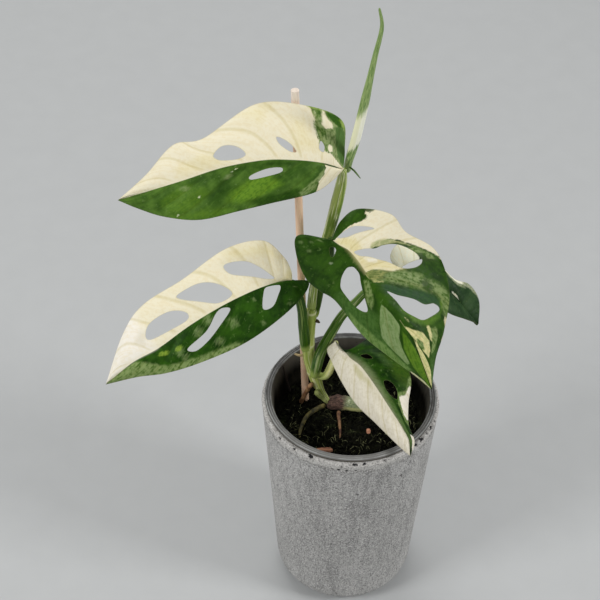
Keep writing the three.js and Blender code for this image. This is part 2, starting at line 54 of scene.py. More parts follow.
class Finish:
    """A node material, built up from its first texture to its shader."""

    def __init__(self, name, **sockets):
        self.material = bpy.data.materials.new(name)
        self.material.use_nodes = True
        self.tree = self.material.node_tree
        self.shader = self.tree.nodes["Principled BSDF"]
        self.set(**sockets)

    def feed(self, socket, value):
        if isinstance(value, bpy.types.NodeSocket):
            self.tree.links.new(value, socket)
        else:
            socket.default_value = value

    def set(self, **sockets):
        for name, value in sockets.items():
            self.feed(self.shader.inputs[name.replace("_", " ")], value)

    def node(self, kind, inputs, output=0, **settings):
        made = self.tree.nodes.new("ShaderNode" + kind)
        for name, value in settings.items():
            setattr(made, name, value)
        for name, value in inputs.items():
            self.feed(made.inputs[name], value)
        return made.outputs[output]

    def scaled(self, vector, factors):
        return self.node("VectorMath", {0: vector, 1: factors}, operation="MULTIPLY")

    def part(self, vector, axis):
        """One of the three numbers of a vector, counted from 0."""
        return self.node("SeparateXYZ", {"Vector": vector}, axis)

    def place(self, scale=(1, 1, 1)):
        """Object coordinates, stretched by scale."""
        return self.scaled(self.node("TexCoord", {}, "Object"), scale)

    def attribute(self, name, output="Fac"):
        return self.node("Attribute", {}, output, attribute_name=name)

    def noise(self, where, scale, detail=3.0, roughness=0.5):
        return self.node("TexNoise", {"Vector": where, "Scale": scale, "Detail": detail,
                                      "Roughness": roughness})

    def math(self, operation, a, b=0.0):
        return self.node("Math", {0: a, 1: b}, operation=operation)

    def times(self, a, b):
        return self.math("MULTIPLY", a, b)

    def plus(self, a, b):
        return self.math("ADD", a, b)

    def away(self, value, middle):
        """How far a value is from a middle one."""
        return self.math("ABSOLUTE", self.math("SUBTRACT", value, middle))

    def between(self, value, low, high, out_low=0.0, out_high=1.0):
        """A value from low to high, stretched softly to out_low and out_high."""
        return self.node("MapRange", {"Value": value, "From Min": low, "From Max": high,
                                      "To Min": out_low, "To Max": out_high},
                         interpolation_type="SMOOTHSTEP")

    def mix(self, share, first, second, **settings):
        return self.node("Mix", {0: share, 6: first, 7: second}, 2, data_type="RGBA", **settings)

    def over(self, tone, colour, value, low, high, share=1.0):
        """Lays a colour over a tone where a value passes from low to high."""
        return self.mix(self.between(value, low, high, 0.0, share), tone, colour)

    def bump(self, height, distance, normal=None):
        inputs = {"Height": height, "Distance": distance}
        if normal is not None:
            inputs["Normal"] = normal
        return self.node("Bump", inputs)


def srgb(red, green, blue):
    """A colour given as it looks on a screen, from 0 to 255."""
    def linear(part):
        part /= 255
        return part / 12.92 if part <= 0.04045 else ((part + 0.055) / 1.055) ** 2.4
    return (linear(red), linear(green), linear(blue), 1.0)


def shown(piece, name, finish):
    """Names a finished piece and gives it its finish."""
    piece.name = name
    piece.data.name = name
    piece.data.materials.clear()
    piece.data.materials.append(finish.material)
    return piece


paper = Finish("pale_paper", Roughness=0.9)
paper.set(Base_Color=paper.mix(paper.noise(paper.place(), 40.0, 4.0),
                               srgb(191, 193, 193), srgb(197, 199, 199)))
bpy.ops.object.select_all(action="DESELECT")
bpy.ops.mesh.primitive_plane_add(size=FLOOR_SIZE, location=(0, 0, 0))
shown(bpy.context.object, "studio_floor", paper)

world = bpy.data.worlds.new("soft_room")
world.use_nodes = True
world.node_tree.nodes["Background"].inputs["Color"].default_value = (1.0, 1.0, 1.0, 1)
world.node_tree.nodes["Background"].inputs["Strength"].default_value = ROOM_GLOW
bpy.context.scene.world = world


def soft_light(name, place, size, watts):
    """A square panel of light that looks at the middle of the plant."""
    light = bpy.data.lights.new(name, "AREA")
    light.size = size
    light.energy = watts
    lamp = bpy.data.objects.new(name, light)
    lamp.location = place
    lamp.rotation_euler = (Vector(LOOK_AT) - lamp.location).to_track_quat("-Z", "Y").to_euler()
    bpy.context.scene.collection.objects.link(lamp)


soft_light("right_panel", (1.35, -0.5, 1.15), 0.4, 11)
soft_light("left_panel", (-1.25, -0.75, 1.1), 0.5, 11.3)
soft_light("back_panel", (-0.3, 1.25, 1.7), 1.4, 14)

# where the photo was taken from, fitted to the pot's rim, foot and sides
EYE = Vector((-0.0376, -0.7296, 0.9882))
LOOKS_DOWN = math.radians(44.13)
ROLL = math.radians(0.9)
LENS_MM = 90
SENSOR_MM = 36
backwards = Vector((0, -math.cos(LOOKS_DOWN), math.sin(LOOKS_DOWN)))
level = Vector((1, 0, 0))
upright = Vector((0, math.sin(LOOKS_DOWN), math.cos(LOOKS_DOWN)))
rightwards = level * math.cos(ROLL) + upright * math.sin(ROLL)
upwards = upright * math.cos(ROLL) - level * math.sin(ROLL)
lens = bpy.data.cameras.new("photo_camera")
lens.lens = LENS_MM
lens.sensor_width = SENSOR_MM
camera = bpy.data.objects.new("photo_camera", lens)
turned = Matrix((rightwards, upwards, backwards)).transposed().to_4x4()
camera.matrix_world = Matrix.Translation(EYE) @ turned
bpy.context.scene.collection.objects.link(camera)
bpy.context.scene.camera = camera
bpy.context.scene.view_settings.view_transform = "Standard"


# Cover pot
# A tall, slightly tapered pot of cast cement with a thick lip and a rounded foot. Air bubbles left
# small pits, most of them round the lip, and the surface is sandy and faintly streaked.

def alone(piece):
    """Selects one piece, and nothing else."""
    bpy.ops.object.select_all(action="DESELECT")
    piece.select_set(True)
    bpy.context.view_layer.objects.active = piece


def face_outwards(piece):
    """Selects one piece and turns all its faces outwards."""
    alone(piece)
    bpy.ops.object.mode_set(mode="EDIT")
    bpy.ops.mesh.select_all(action="SELECT")
    bpy.ops.mesh.normals_make_consistent(inside=False)
    bpy.ops.object.mode_set(mode="OBJECT")


def ring_up(name, profile, segments):
    """A round form raised ring by ring, from a circle at the first [radius, height] to the last."""
    bpy.ops.object.select_all(action="DESELECT")
    (radius, height), *rest = profile
    bpy.ops.mesh.primitive_circle_add(vertices=segments, radius=radius * MM,
                                      location=(0, 0, height * MM))
    piece = bpy.context.object
    bpy.ops.object.transform_apply(location=True, rotation=True, scale=True)
    bpy.ops.object.mode_set(mode="EDIT")
    bpy.ops.mesh.select_mode(type="VERT")
    bpy.ops.mesh.select_all(action="SELECT")
    for next_radius, next_height in rest:
        bpy.ops.mesh.extrude_region_move(
            TRANSFORM_OT_translate={"value": (0, 0, (next_height - height) * MM)})
        bpy.ops.transform.resize(value=(next_radius / radius, next_radius / radius, 1),
                                 center_override=(0, 0, next_height * MM))
        radius, height = next_radius, next_height
    bpy.ops.object.mode_set(mode="OBJECT")
    piece.name = name
    return piece


MEETING = 0.01  # points closer than this, in mm, are one


def close_up(piece):
    """Merges points that meet, fills the rings left open and turns the faces outwards."""
    bpy.ops.object.mode_set(mode="EDIT")
    bpy.ops.mesh.select_all(action="SELECT")
    bpy.ops.mesh.remove_doubles(threshold=MEETING * MM)
    bpy.ops.mesh.fill_holes(sides=0)
    bpy.ops.object.mode_set(mode="OBJECT")
    face_outwards(piece)


def arc(centre, radii, start, end, steps):
    """Points of an ellipse round a centre, from one angle in degrees to another."""
    angles = [math.radians(start + (end - start) * i / steps) for i in range(steps + 1)]
    return [(centre[0] + radii[0] * math.cos(a), centre[1] + radii[1] * math.sin(a))
            for a in angles]


COVER_HEIGHT, COVER_TOP, COVER_FOOT = 184, 64.2, 51.6
COVER_ROUNDING, COVER_LIP, COVER_FLOOR = 16, 6, 12
LIP_OUTSIDE, LIP_INSIDE = 2.4, 1.2  # how round the lip's two edges are
GROOVE_AT, GROOVE_DEEP, GROOVE_WIDE = 177, 0.45, 1.2  # the faint line that the mould left
cover_radius = lambda height: COVER_FOOT + (COVER_TOP - COVER_FOOT) * height / COVER_HEIGHT
foot_flat = COVER_FOOT - COVER_ROUNDING
cover_well = COVER_TOP - COVER_LIP
groove = lambda height: GROOVE_DEEP * math.exp(-((height - GROOVE_AT) / GROOVE_WIDE) ** 2)
# rings up the side, closer together round the groove
cover_side = [(cover_radius(z) - groove(z), z) for z in (*range(22, 172, 6), *range(172, 182))]
cover_profile = [
    (1, 0), (foot_flat / 2, 0),
    *arc((foot_flat, COVER_ROUNDING), (cover_radius(COVER_ROUNDING) - foot_flat, COVER_ROUNDING),
         -90, 0, 14),
    *cover_side,
    *arc((COVER_TOP - LIP_OUTSIDE, COVER_HEIGHT - LIP_OUTSIDE), [LIP_OUTSIDE] * 2, 0, 90, 8),
    *arc((cover_well + LIP_INSIDE, COVER_HEIGHT - LIP_INSIDE), [LIP_INSIDE] * 2, 90, 180, 5),
    (cover_well - 4, 110), (COVER_FOOT - COVER_LIP, COVER_FLOOR + 6),
    (COVER_FOOT - COVER_LIP - 4, COVER_FLOOR), (20, COVER_FLOOR), (1, COVER_FLOOR),
]
cover_pot = ring_up("cover_pot_cast", cover_profile, 200)
close_up(cover_pot)

# Each pit: where it lies round the pot in degrees from the front, its height, width and depth
COVER_PITS = [
    (-27, 183.2, 3.4, 2.0), (-52, 181.4, 2.4, 1.6), (-39, 182.8, 1.6, 1.2), (2, 183.8, 2.9, 1.8),
    (8, 183.9, 2.4, 1.5), (-6, 181.0, 1.2, 0.9), (22, 183.9, 2.2, 1.6), (-66, 178.5, 1.8, 1.2),
    (46, 183.6, 2.8, 1.6), (52, 182.8, 3.8, 1.9), (58, 183.8, 2.4, 1.4), (64, 182.8, 3.2, 1.6),
    (70, 182.8, 1.8, 1.2), (36, 157, 2.2, 1.4), (5, 148, 1.4, 0.9), (-12, 177, 1.5, 0.8),
    (-8, 177.2, 2.2, 0.9), (-3, 177, 1.8, 0.8), (3, 177.4, 1.5, 0.8), (34, 98, 1.2, 0.9),
    (-52, 120, 1.0, 0.7), (120, 160, 1.8, 1.1), (160, 120, 1.4, 1.0), (-130, 140, 1.8, 1.2),
    (-160, 175, 2.4, 1.3), (95, 181.5, 2.2, 1.2), (-110, 70, 1.4, 0.9), (178, 182.4, 2.8, 1.4),
    (150, 60, 1.2, 0.8), (70, 80, 1.2, 0.8), (20, 60, 1.0, 0.7), (-100, 182.2, 2.0, 1.3),
    (-140, 182.6, 2.6, 1.5), (140, 182.6, 1.8, 1.3),
]


def at_heading(degrees, radius, height):
    """A point at a heading from the front, counted towards the viewer's right."""
    a = math.radians(degrees)
    return Vector((radius * math.sin(a), -radius * math.cos(a), height)) * MM


cement = Finish("cast_cement", Roughness=0.93, Specular_IOR_Level=0.25)
grain_place = cement.place()
fine = cement.noise(grain_place, 950.0, 2.0, 0.7)
speck = cement.noise(grain_place, 420.0, 3.0, 0.6)
streak = cement.noise(cement.place((1, 1, 0.16)), 160.0, 3.0, 0.6)
scratch = cement.noise(cement.place((1, 1, 0.25)), 700.0, 3.0, 0.65)
cloud = cement.noise(grain_place, 14.0, 3.0, 0.55)
lip_noise = cement.noise(grain_place, 150.0, 4.0, 0.7)
ragged_m = cement.plus(cement.part(grain_place, 2), cement.times(lip_noise, 0.012))
body_tone = cement.over(srgb(172, 171, 169), srgb(190, 189, 187), cloud, 0.3, 0.7)
body_tone = cement.over(body_tone, srgb(138, 137, 136), streak, 0.45, 0.7, 0.55)
body_tone = cement.over(body_tone, srgb(122, 121, 120), scratch, 0.5, 0.64, 0.55)
body_tone = cement.over(body_tone, srgb(204, 201, 196), ragged_m, 0.181, 0.1855, 0.7)
seam = cement.times(cement.between(ragged_m, 0.1805, 0.1815),
                    cement.between(ragged_m, 0.1825, 0.1835, 1.0, 0.0))
body_tone = cement.mix(cement.times(seam, 0.4), body_tone, srgb(106, 105, 100))
body_tone = cement.over(body_tone, srgb(122, 121, 119), speck, 0.54, 0.68, 0.5)
body_tone = cement.mix(cement.between(fine, 0.36, 0.46, 0.7, 0.0), body_tone, srgb(108, 107, 106))
body_tone = cement.over(body_tone, srgb(226, 225, 222), fine, 0.53, 0.64, 0.7)
# painted shade: dark inside each pit
body_tone = cement.over(body_tone, srgb(48, 48, 50), cement.attribute("pit_shade"), 0.35, 0.8)
cement.set(Base_Color=body_tone, Normal=cement.bump(fine, 0.0003, cement.bump(scratch, 0.0004)))


PIT_STEEPNESS, PIT_CUTS = 2.2, 5


def sink_pits(piece, pits):
    """Sinks each pit into the wall, and stores how deep in a pit each point is, for painted shade."""
    shade = piece.data.attributes.new("pit_shade", "FLOAT", "POINT")
    for vertex in piece.data.vertices:
        at = vertex.co.copy()
        for centre, width, depth in pits:
            ragged = width * (0.75 + 0.5 * noise.noise(at * 900))
            near = 1 - (at - centre).length / (ragged * MM)
            if near > 0:
                inwards = Vector((-centre.x, -centre.y, 0)).normalized()
                sunk = min(1.0, PIT_STEEPNESS * near)
                vertex.co += inwards * depth * MM * sunk
                shade.data[vertex.index].value = max(shade.data[vertex.index].value, sunk)


def finer_near(piece, pits, cuts):
    """Divides the faces round each pit, so that its rim has points to follow."""
    for face in piece.data.polygons:
        face.select = any((face.center - centre).length < (2.2 * width + 2) * MM
                          for centre, width, _ in pits)
    for vertex in piece.data.vertices:
        vertex.select = False
    for edge in piece.data.edges:
        edge.select = False
    bpy.ops.object.mode_set(mode="EDIT")
    bpy.ops.mesh.select_mode(type="FACE")
    bpy.ops.mesh.subdivide(number_cuts=cuts)
    bpy.ops.mesh.select_mode(type="VERT")
    bpy.ops.object.mode_set(mode="OBJECT")


cover_pits = [(at_heading(turn, cover_radius(height), height), width, depth)
              for turn, height, width, depth in COVER_PITS]
alone(cover_pot)
finer_near(cover_pot, cover_pits, PIT_CUTS)
sink_pits(cover_pot, cover_pits)
bpy.ops.object.shade_smooth()
shown(cover_pot, "cover_pot_cast", cement)
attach(cover_pot, "root")
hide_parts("cover_pot")


# Nursery pot
# A thin growing pot of grey-clear plastic, moulded in one with its flat rim, which rests on the
# cover pot's lip. Six drain holes and one in the middle are in its floor. Its wall is painted dark,
# as painted shade for the gap seen through it, and lighter near the top as painted light, with
# specks of peat.

RIM_TOP, RIM_RADIUS, NURSERY_FOOT, NURSERY_DEPTH = 187.3, 62, 45, 115
NURSERY_WALL, WALL_TOP = 1.3, 185.4  # how thick its wall is, and where the rim's finish begins
GAP = 0.35  # left between pieces, so that none touches another
DRAINS, DRAIN, DRAIN_RING = 6, 4, 28  # how many, their radius, and that of the ring they are on
rim_underside = COVER_HEIGHT + GAP
nursery_foot = RIM_TOP - NURSERY_DEPTH
nursery_neck = cover_well - 2 * GAP
nursery_slope = (nursery_neck - NURSERY_FOOT) / (rim_underside - nursery_foot)
inner_wall = lambda height: NURSERY_FOOT + nursery_slope * (height - nursery_foot) - NURSERY_WALL
nursery_floor = nursery_foot + NURSERY_WALL
rim_inside = inner_wall(RIM_TOP)
nursery_profile = [
    (DRAIN, nursery_foot), (20, nursery_foot), (NURSERY_FOOT - 1, nursery_foot),
    (NURSERY_FOOT, nursery_foot + 1), (nursery_neck - 6, 128), (nursery_neck, rim_underside),
    (RIM_RADIUS - 0.4, rim_underside),
    *arc((RIM_RADIUS - 0.9, RIM_TOP - 1.1), (0.9, 1.1), 0, 90, 6),
    (RIM_RADIUS - 1.4, RIM_TOP - 0.5), (RIM_RADIUS - 2.6, RIM_TOP - 0.5),
    *arc((rim_inside + 1.9, RIM_TOP - 1.2), (1.2, 1.2), 90, 180, 6),
    (inner_wall(182), 182), (inner_wall(172), 172), (inner_wall(162), 162),
    (inner_wall(120), 120), (inner_wall(nursery_floor + 1), nursery_floor + 1),
    (inner_wall(nursery_floor) - 1, nursery_floor), (20, nursery_floor), (DRAIN, nursery_floor),
    (DRAIN, nursery_foot),
]
nursery_pot = ring_up("nursery_pot_moulded", nursery_profile, 160)
close_up(nursery_pot)
bpy.ops.object.select_all(action="DESELECT")
for i in range(DRAINS):
    turn = 2 * math.pi * i / DRAINS
    bpy.ops.mesh.primitive_cylinder_add(
        vertices=24, radius=DRAIN * MM, depth=6 * MM,
        location=Vector((DRAIN_RING * math.cos(turn), DRAIN_RING * math.sin(turn), nursery_foot)) * MM)
    drill = bpy.context.object
    cut = nursery_pot.modifiers.new("drain", "BOOLEAN")
    cut.object = drill
    cut.solver = "EXACT"
    alone(nursery_pot)
    bpy.ops.object.modifier_apply(modifier="drain")
    bpy.data.objects.remove(drill, do_unlink=True)
bpy.ops.object.shade_smooth_by_angle(angle=math.radians(35))
plastic = Finish("grey_clear_plastic", Roughness=0.22, IOR=1.49, Specular_IOR_Level=0.25)
# painted light: the rim is lighter towards the front
lit_front = plastic.between(plastic.part(plastic.place(), 1), -0.06, 0.0, 1.0, 0.0)
smear = plastic.noise(plastic.place((1, 1, 0.25)), 90.0, 4.0, 0.6)
film = plastic.noise(plastic.place(), 500.0, 2.0)
rim_tone = plastic.over(srgb(44, 42, 38), srgb(72, 71, 68), smear, 0.3, 0.7)
rim_tone = plastic.mix(plastic.times(lit_front, 0.8), rim_tone, srgb(126, 125, 122))
from_axis = plastic.node("VectorMath", {0: plastic.place((1, 1, 0))}, "Value", operation="LENGTH")
# painted highlights, bright lines round the rim: their radius and width in mm, and how strong they are
for line_radius, line_width, share in ((57.5, 0.7, 0.7), (59.4, 0.4, 0.35), (61.2, 0.7, 0.75)):
    glint = plastic.between(plastic.away(from_axis, line_radius * MM),
                            line_width * 0.4 * MM, line_width * MM, share, 0.0)
    glint = plastic.times(glint, plastic.between(smear, 0.3, 0.6, 0.35, 1.0))
    rim_tone = plastic.mix(glint, rim_tone, srgb(176, 178, 176))
plastic.set(Base_Color=rim_tone, Roughness=plastic.between(smear, 0.3, 0.8, 0.18, 0.42),
            Normal=plastic.bump(film, 0.0001))
shown(nursery_pot, "nursery_pot_moulded", plastic)
wall = Finish("plastic_painted_shade", Roughness=0.55, IOR=1.3, Specular_IOR_Level=0.05)
wall_smear = wall.noise(wall.place((1, 1, 0.25)), 90.0, 4.0, 0.6)
wall_speck = wall.noise(wall.place(), 400.0, 3.0, 0.6)
# painted shade: the wall is dark, for the shaded gap seen through the clear plastic
wall_tone = wall.over(srgb(10, 10, 8), srgb(34, 32, 26), wall_smear, 0.35, 0.75)
# painted light: the wall is lighter towards its top
lit_wall_top = wall.plus(wall.part(wall.place(), 2), wall.times(wall_smear, 0.012))
wall_tone = wall.over(wall_tone, srgb(112, 108, 100), lit_wall_top, 0.176, 0.194, 0.85)
wall_tone = wall.over(wall_tone, srgb(48, 42, 30), wall_speck, 0.58, 0.75, 0.6)
wall.set(Base_Color=wall_tone, Normal=wall.bump(wall_speck, 0.0002))
nursery_pot.data.materials.append(wall.material)
for face in nursery_pot.data.polygons:
    face.material_index = int(face.center.z < WALL_TOP * MM)
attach(nursery_pot, "root")
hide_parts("nursery_pot")


# Potting mix
# Moist black peat with crumbs of all sizes and a few pale fibres. It fills the nursery pot to
# some 25 mm under the rim. Crumbs and fibres lie sunk in its top.

MIX_TOP, CRUMBS, FIBRES = 162, 4200, 360
CRUMB_SIZES = (0.9, 4.2)  # in mm, the smallest and the largest
FIBRE_SPANS, FIBRE_SIDES = 5, 3
chance = random.Random(20)  # one seed, so that each run lays the same crumbs
mix_radius = inner_wall(MIX_TOP) - GAP
mix_floor = nursery_floor + GAP
mix_profile = [(1, mix_floor), (inner_wall(mix_floor) - 1, mix_floor), (mix_radius, MIX_TOP - 1)]
mix_profile += [(mix_radius * share, MIX_TOP - 1) for share in np.linspace(0.985, 0.01, 66)]
potting_mix = ring_up("potting_mix_peat", mix_profile, 180)
close_up(potting_mix)
for vertex in potting_mix.data.vertices:
    from_wall = mix_radius - Vector(vertex.co[:2]).length / MM
    if vertex.co.z > (MIX_TOP - 2) * MM and from_wall > 0.3:
        lumps = noise.noise(vertex.co * 90) + 0.6 * noise.noise(vertex.co * 260)
        grit = 0.45 * noise.noise(vertex.co * 700)
        vertex.co.z += (lumps + grit) * 0.9 * MM


def crumbs(count, sizes, place):
    """Small angular lumps, each a squashed twenty-sided ball turned its own way, in one mesh."""
    corners, faces = [], []
    bpy.ops.object.select_all(action="DESELECT")
    bpy.ops.mesh.primitive_ico_sphere_add(subdivisions=1, radius=0.5)
    ball = bpy.context.object
    shape = [vertex.co.copy() for vertex in ball.data.vertices]
    sides = [tuple(face.vertices) for face in ball.data.polygons]
    bpy.data.objects.remove(ball, do_unlink=True)
    for _ in range(count):
        size = sizes[0] * (sizes[1] / sizes[0]) ** chance.random()
        turn = Matrix.Rotation(chance.uniform(0, 6.3), 3, Vector(
            [chance.uniform(-1, 1) for _ in range(3)]).normalized())
        stretch = Vector((1, chance.uniform(0.5, 0.95), chance.uniform(0.4, 0.8)))
        at = place(size)
        first = len(corners)
        for corner in shape:
            jolted = Vector([c * s * chance.uniform(0.75, 1.2) for c, s in zip(corner, stretch)])
            corners.append(at + (turn @ jolted) * size * MM)
        faces += [tuple(first + i for i in side) for side in sides]
    return corners, faces


def on_mix(size, spread=0.97):
    """A place on the mix, evenly spread, where a crumb of this size lies half sunk."""
    radius = (mix_radius * spread - size / 2) * math.sqrt(chance.random())
    turn = chance.uniform(0, 2 * math.pi)
    return Vector((radius * math.cos(turn), radius * math.sin(turn),
                   MIX_TOP - 1 + chance.uniform(-0.1, 0.35) * size)) * MM


def add_mesh(name, corners, faces):
    mesh = bpy.data.meshes.new(name)
    mesh.from_pydata([tuple(corner) for corner in corners], [], [tuple(face) for face in faces])
    mesh.update()
    piece = bpy.data.objects.new(name, mesh)
    bpy.context.scene.collection.objects.link(piece)
    return piece


peat_crumbs = add_mesh("peat_crumbs", *crumbs(CRUMBS, CRUMB_SIZES, on_mix))


def fibres(count):
    """Fine bent threads, each a three-sided tube with its ends sunk in the mix."""
    corners, faces = [], []
    for _ in range(count):
        length = chance.uniform(2, 7)
        start = on_mix(length) / MM
        heading, bend = chance.uniform(0, 6.3), chance.uniform(-1.4, 1.4)
        arch, thick = chance.uniform(0.3, 1.2), chance.uniform(0.08, 0.22)
        first = len(corners)
        for step in range(FIBRE_SPANS + 1):
            way = step / FIBRE_SPANS
            angle = heading + bend * way
            middle = start + length * way * Vector((math.cos(angle), math.sin(angle), 0))
            middle.z = MIX_TOP - 0.6 + 2 * arch * math.sin(math.pi * way)
            out = Vector((-math.sin(angle), math.cos(angle), 0))
            for side in range(FIBRE_SIDES):
                turn = side * 2 * math.pi / FIBRE_SIDES
                round_it = out * math.cos(turn) + Vector((0, 0, 1)) * math.sin(turn)
                corners.append((middle + round_it * thick) * MM)
        last = len(corners) - FIBRE_SIDES
        for ring in range(first, last, FIBRE_SIDES):
            for side in range(FIBRE_SIDES):
                a, b = ring + side, ring + (side + 1) % FIBRE_SIDES
                faces.append((a, b, b + FIBRE_SIDES, a + FIBRE_SIDES))
        faces += [(first + 2, first + 1, first), (last, last + 1, last + 2)]
    return corners, faces


peat_fibres = add_mesh("peat_fibres", *fibres(FIBRES))
straw = Finish("root_hair", Roughness=0.8, Specular_IOR_Level=0.15)
straw_place = straw.place()
straw_tone = straw.over(srgb(40, 42, 16), srgb(140, 142, 102), straw.noise(straw_place, 60.0, 2.0),
                        0.4, 0.65)
straw_tone = straw.over(straw_tone, srgb(14, 14, 8), straw.noise(straw_place, 300.0, 2.0),
                        0.45, 0.65, 0.7)
straw.set(Base_Color=straw_tone, Normal=straw.bump(straw.noise(straw_place, 900.0, 2.0), 0.0002))
shown(peat_fibres, "peat_fibres", straw)
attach(peat_fibres, "root")
peat = Finish("moist_peat", Roughness=0.9, Specular_IOR_Level=0.1)
peat_place = peat.place()
clump = peat.noise(peat_place, 260.0, 3.0, 0.6)
moss = peat.noise(peat_place, 120.0, 3.0, 0.6)
dust = peat.noise(peat_place, 1500.0, 2.0, 0.7)
peat_tone = peat.over(srgb(5, 5, 2), srgb(22, 22, 12), clump, 0.4, 0.7)
peat_tone = peat.over(peat_tone, srgb(36, 42, 20), moss, 0.56, 0.74, 0.8)
peat_tone = peat.over(peat_tone, srgb(84, 88, 60), dust, 0.6, 0.74, 0.5)
peat.set(Base_Color=peat_tone, Normal=peat.bump(dust, 0.0006))
for piece in (potting_mix, peat_crumbs):
    shown(piece, piece.name, peat)
    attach(piece, "root")
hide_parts("potting_mix")


# Support stick
# A round softwood stick, bare and faintly grained, pushed down through the mix to lean behind the
# plant. Its end is sawn off square.

def span_curve(before, start, end, after, way):
    """Points of the smooth span from start to end, with way from 0 to 1."""
    return 0.5 * (2 * start + (end - before) * way
                  + (2 * before - 5 * start + 4 * end - after) * way ** 2
                  + (3 * start - 3 * end + after - before) * way ** 3)


def along_curve(points, where):
    """Points of a smooth curve through the given ones, where runs from 0 to 1."""
    points = np.array(points, float)
    spans = len(points) - 1
    padded = np.vstack([2 * points[0] - points[1], points, 2 * points[-1] - points[-2]])
    x = np.clip(where, 0, 1) * spans
    i = np.minimum(x.astype(int), spans - 1)
    return span_curve(padded[i], padded[i + 1], padded[i + 2], padded[i + 3], (x - i)[..., None])


def even_steps(points, count):
    """Points at even lengths along the smooth curve through the given ones."""
    dense = along_curve(points, np.linspace(0, 1, 600))
    lengths = np.r_[0, np.cumsum(np.linalg.norm(np.diff(dense, axis=0), axis=1))]
    at = np.linspace(0, lengths[-1], count)
    return np.stack([np.interp(at, lengths, dense[:, k]) for k in range(3)], axis=1), at


def store(piece, name, values):
    """Keeps a number or a vector for each point of a piece, for its finish to read."""
    values = np.asarray(values, np.float32)
    kind, field = ("FLOAT_VECTOR", "vector") if values.ndim == 2 else ("FLOAT", "value")
    piece.data.attributes.new(name, kind, "POINT").data.foreach_set(field, values.ravel())


UPPER_SIDE = (0.0, -0.6, 0.8)  # the way that the upper side of a stalk looks at first
END_SHARE = 0.55  # of a stalk's radius, which its rounded ends keep


def stalk_mesh(name, path, radii, sides, step, section=None, blunt=0.35):
    """A round stalk along a path in millimetres, its radii spread evenly from start to end.
    section(angle, share) gives how far the skin stands out, as a factor. Its ends are rounded by
    blunt times their radius. Each point keeps its length along, and the sine and cosine of its
    angle from the upper side, in the attribute "stalk"."""
    _, lengths = even_steps(path, 2)
    count = max(6, int(lengths[-1] / step))
    middle, lengths = even_steps(path, count + 1)
    tangents = np.gradient(middle, axis=0)
    tangents /= np.linalg.norm(tangents, axis=1)[:, None]
    spread = np.interp(lengths / lengths[-1], np.linspace(0, 1, len(radii)), radii)
    side = np.cross(tangents[0], UPPER_SIDE)
    corners, coordinates, faces = [], [], []
    for i, tangent in enumerate(tangents):
        side = side - side.dot(tangent) * tangent
        side /= np.linalg.norm(side)
        over = np.cross(side, tangent)
        from_end = min(lengths[i], lengths[-1] - lengths[i])
        rounding = 1.0
        if blunt:
            rounding = math.sqrt(max(0.0, 1 - max(0.0, 1 - from_end / (blunt * spread[i])) ** 2))
        for j in range(sides):
            angle = 2 * math.pi * j / sides
            bulge = section(angle, lengths[i] / lengths[-1]) if section else 1.0
            reach = spread[i] * bulge * max(END_SHARE, rounding)
            point = middle[i] + reach * (math.cos(angle) * over + math.sin(angle) * side)
            corners.append(point * MM)
            coordinates.append((lengths[i], math.sin(angle), math.cos(angle)))
    for i in range(count):
        for j in range(sides):
            a, b = i * sides + j, i * sides + (j + 1) % sides
            faces.append((a, b, b + sides, a + sides))
    for ring, station in ((0, 0), (count * sides, count)):
        corners.append(middle[station] * MM)
        coordinates.append((lengths[station], 0, 1))
        tip = len(corners) - 1
        for j in range(sides):
            pair = (ring + j, ring + (j + 1) % sides)
            faces.append((pair[1], pair[0], tip) if station == 0 else (*pair, tip))
    piece = add_mesh(name, corners, faces)
    store(piece, "stalk", coordinates)
    face_outwards(piece)
    bpy.ops.object.shade_smooth()
    return piece


STICK_TOP, STICK_AT_MIX = np.array([-42.8, 34, 430]), np.array([-32.5, 18, 162])
STICK_RADIUS, STICK_DEPTH = 2.6, 80
stick_lean = (STICK_AT_MIX - STICK_TOP) / np.linalg.norm(STICK_AT_MIX - STICK_TOP)
stick_foot = STICK_AT_MIX + stick_lean * STICK_DEPTH
stick = stalk_mesh("stick_softwood", [stick_foot, STICK_TOP], [STICK_RADIUS] * 2, 28, 4, blunt=0)
bpy.ops.object.shade_smooth_by_angle(angle=math.radians(50))
softwood = Finish("bare_softwood", Roughness=0.78)
on_stick = softwood.attribute("stalk", "Vector")
wood_grain = softwood.noise(softwood.scaled(on_stick, (0.05, 4.0, 4.0)), 2.6, 4.0, 0.6)
stain = softwood.noise(softwood.scaled(on_stick, (0.06, 1, 1)), 1.0, 2.0)
wood_tone = softwood.over(srgb(255, 224, 192), srgb(248, 198, 166), wood_grain, 0.35, 0.7)
wood_tone = softwood.over(wood_tone, srgb(226, 168, 132), stain, 0.5, 0.75, 0.5)
# painted light: the top of the stick is lighter
wood_tone = softwood.over(wood_tone, srgb(255, 244, 230), softwood.part(on_stick, 0), 336, 345, 0.8)
softwood.set(Base_Color=wood_tone, Normal=softwood.bump(wood_grain, 0.0003))
shown(stick, "stick_softwood", softwood)
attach(stick, "root")
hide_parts("support_stick")


# Old cutting
# The length of older stem that the plant was raised from. It lies on the mix, brown and fibrous,
# with a pale green cut end to the right.

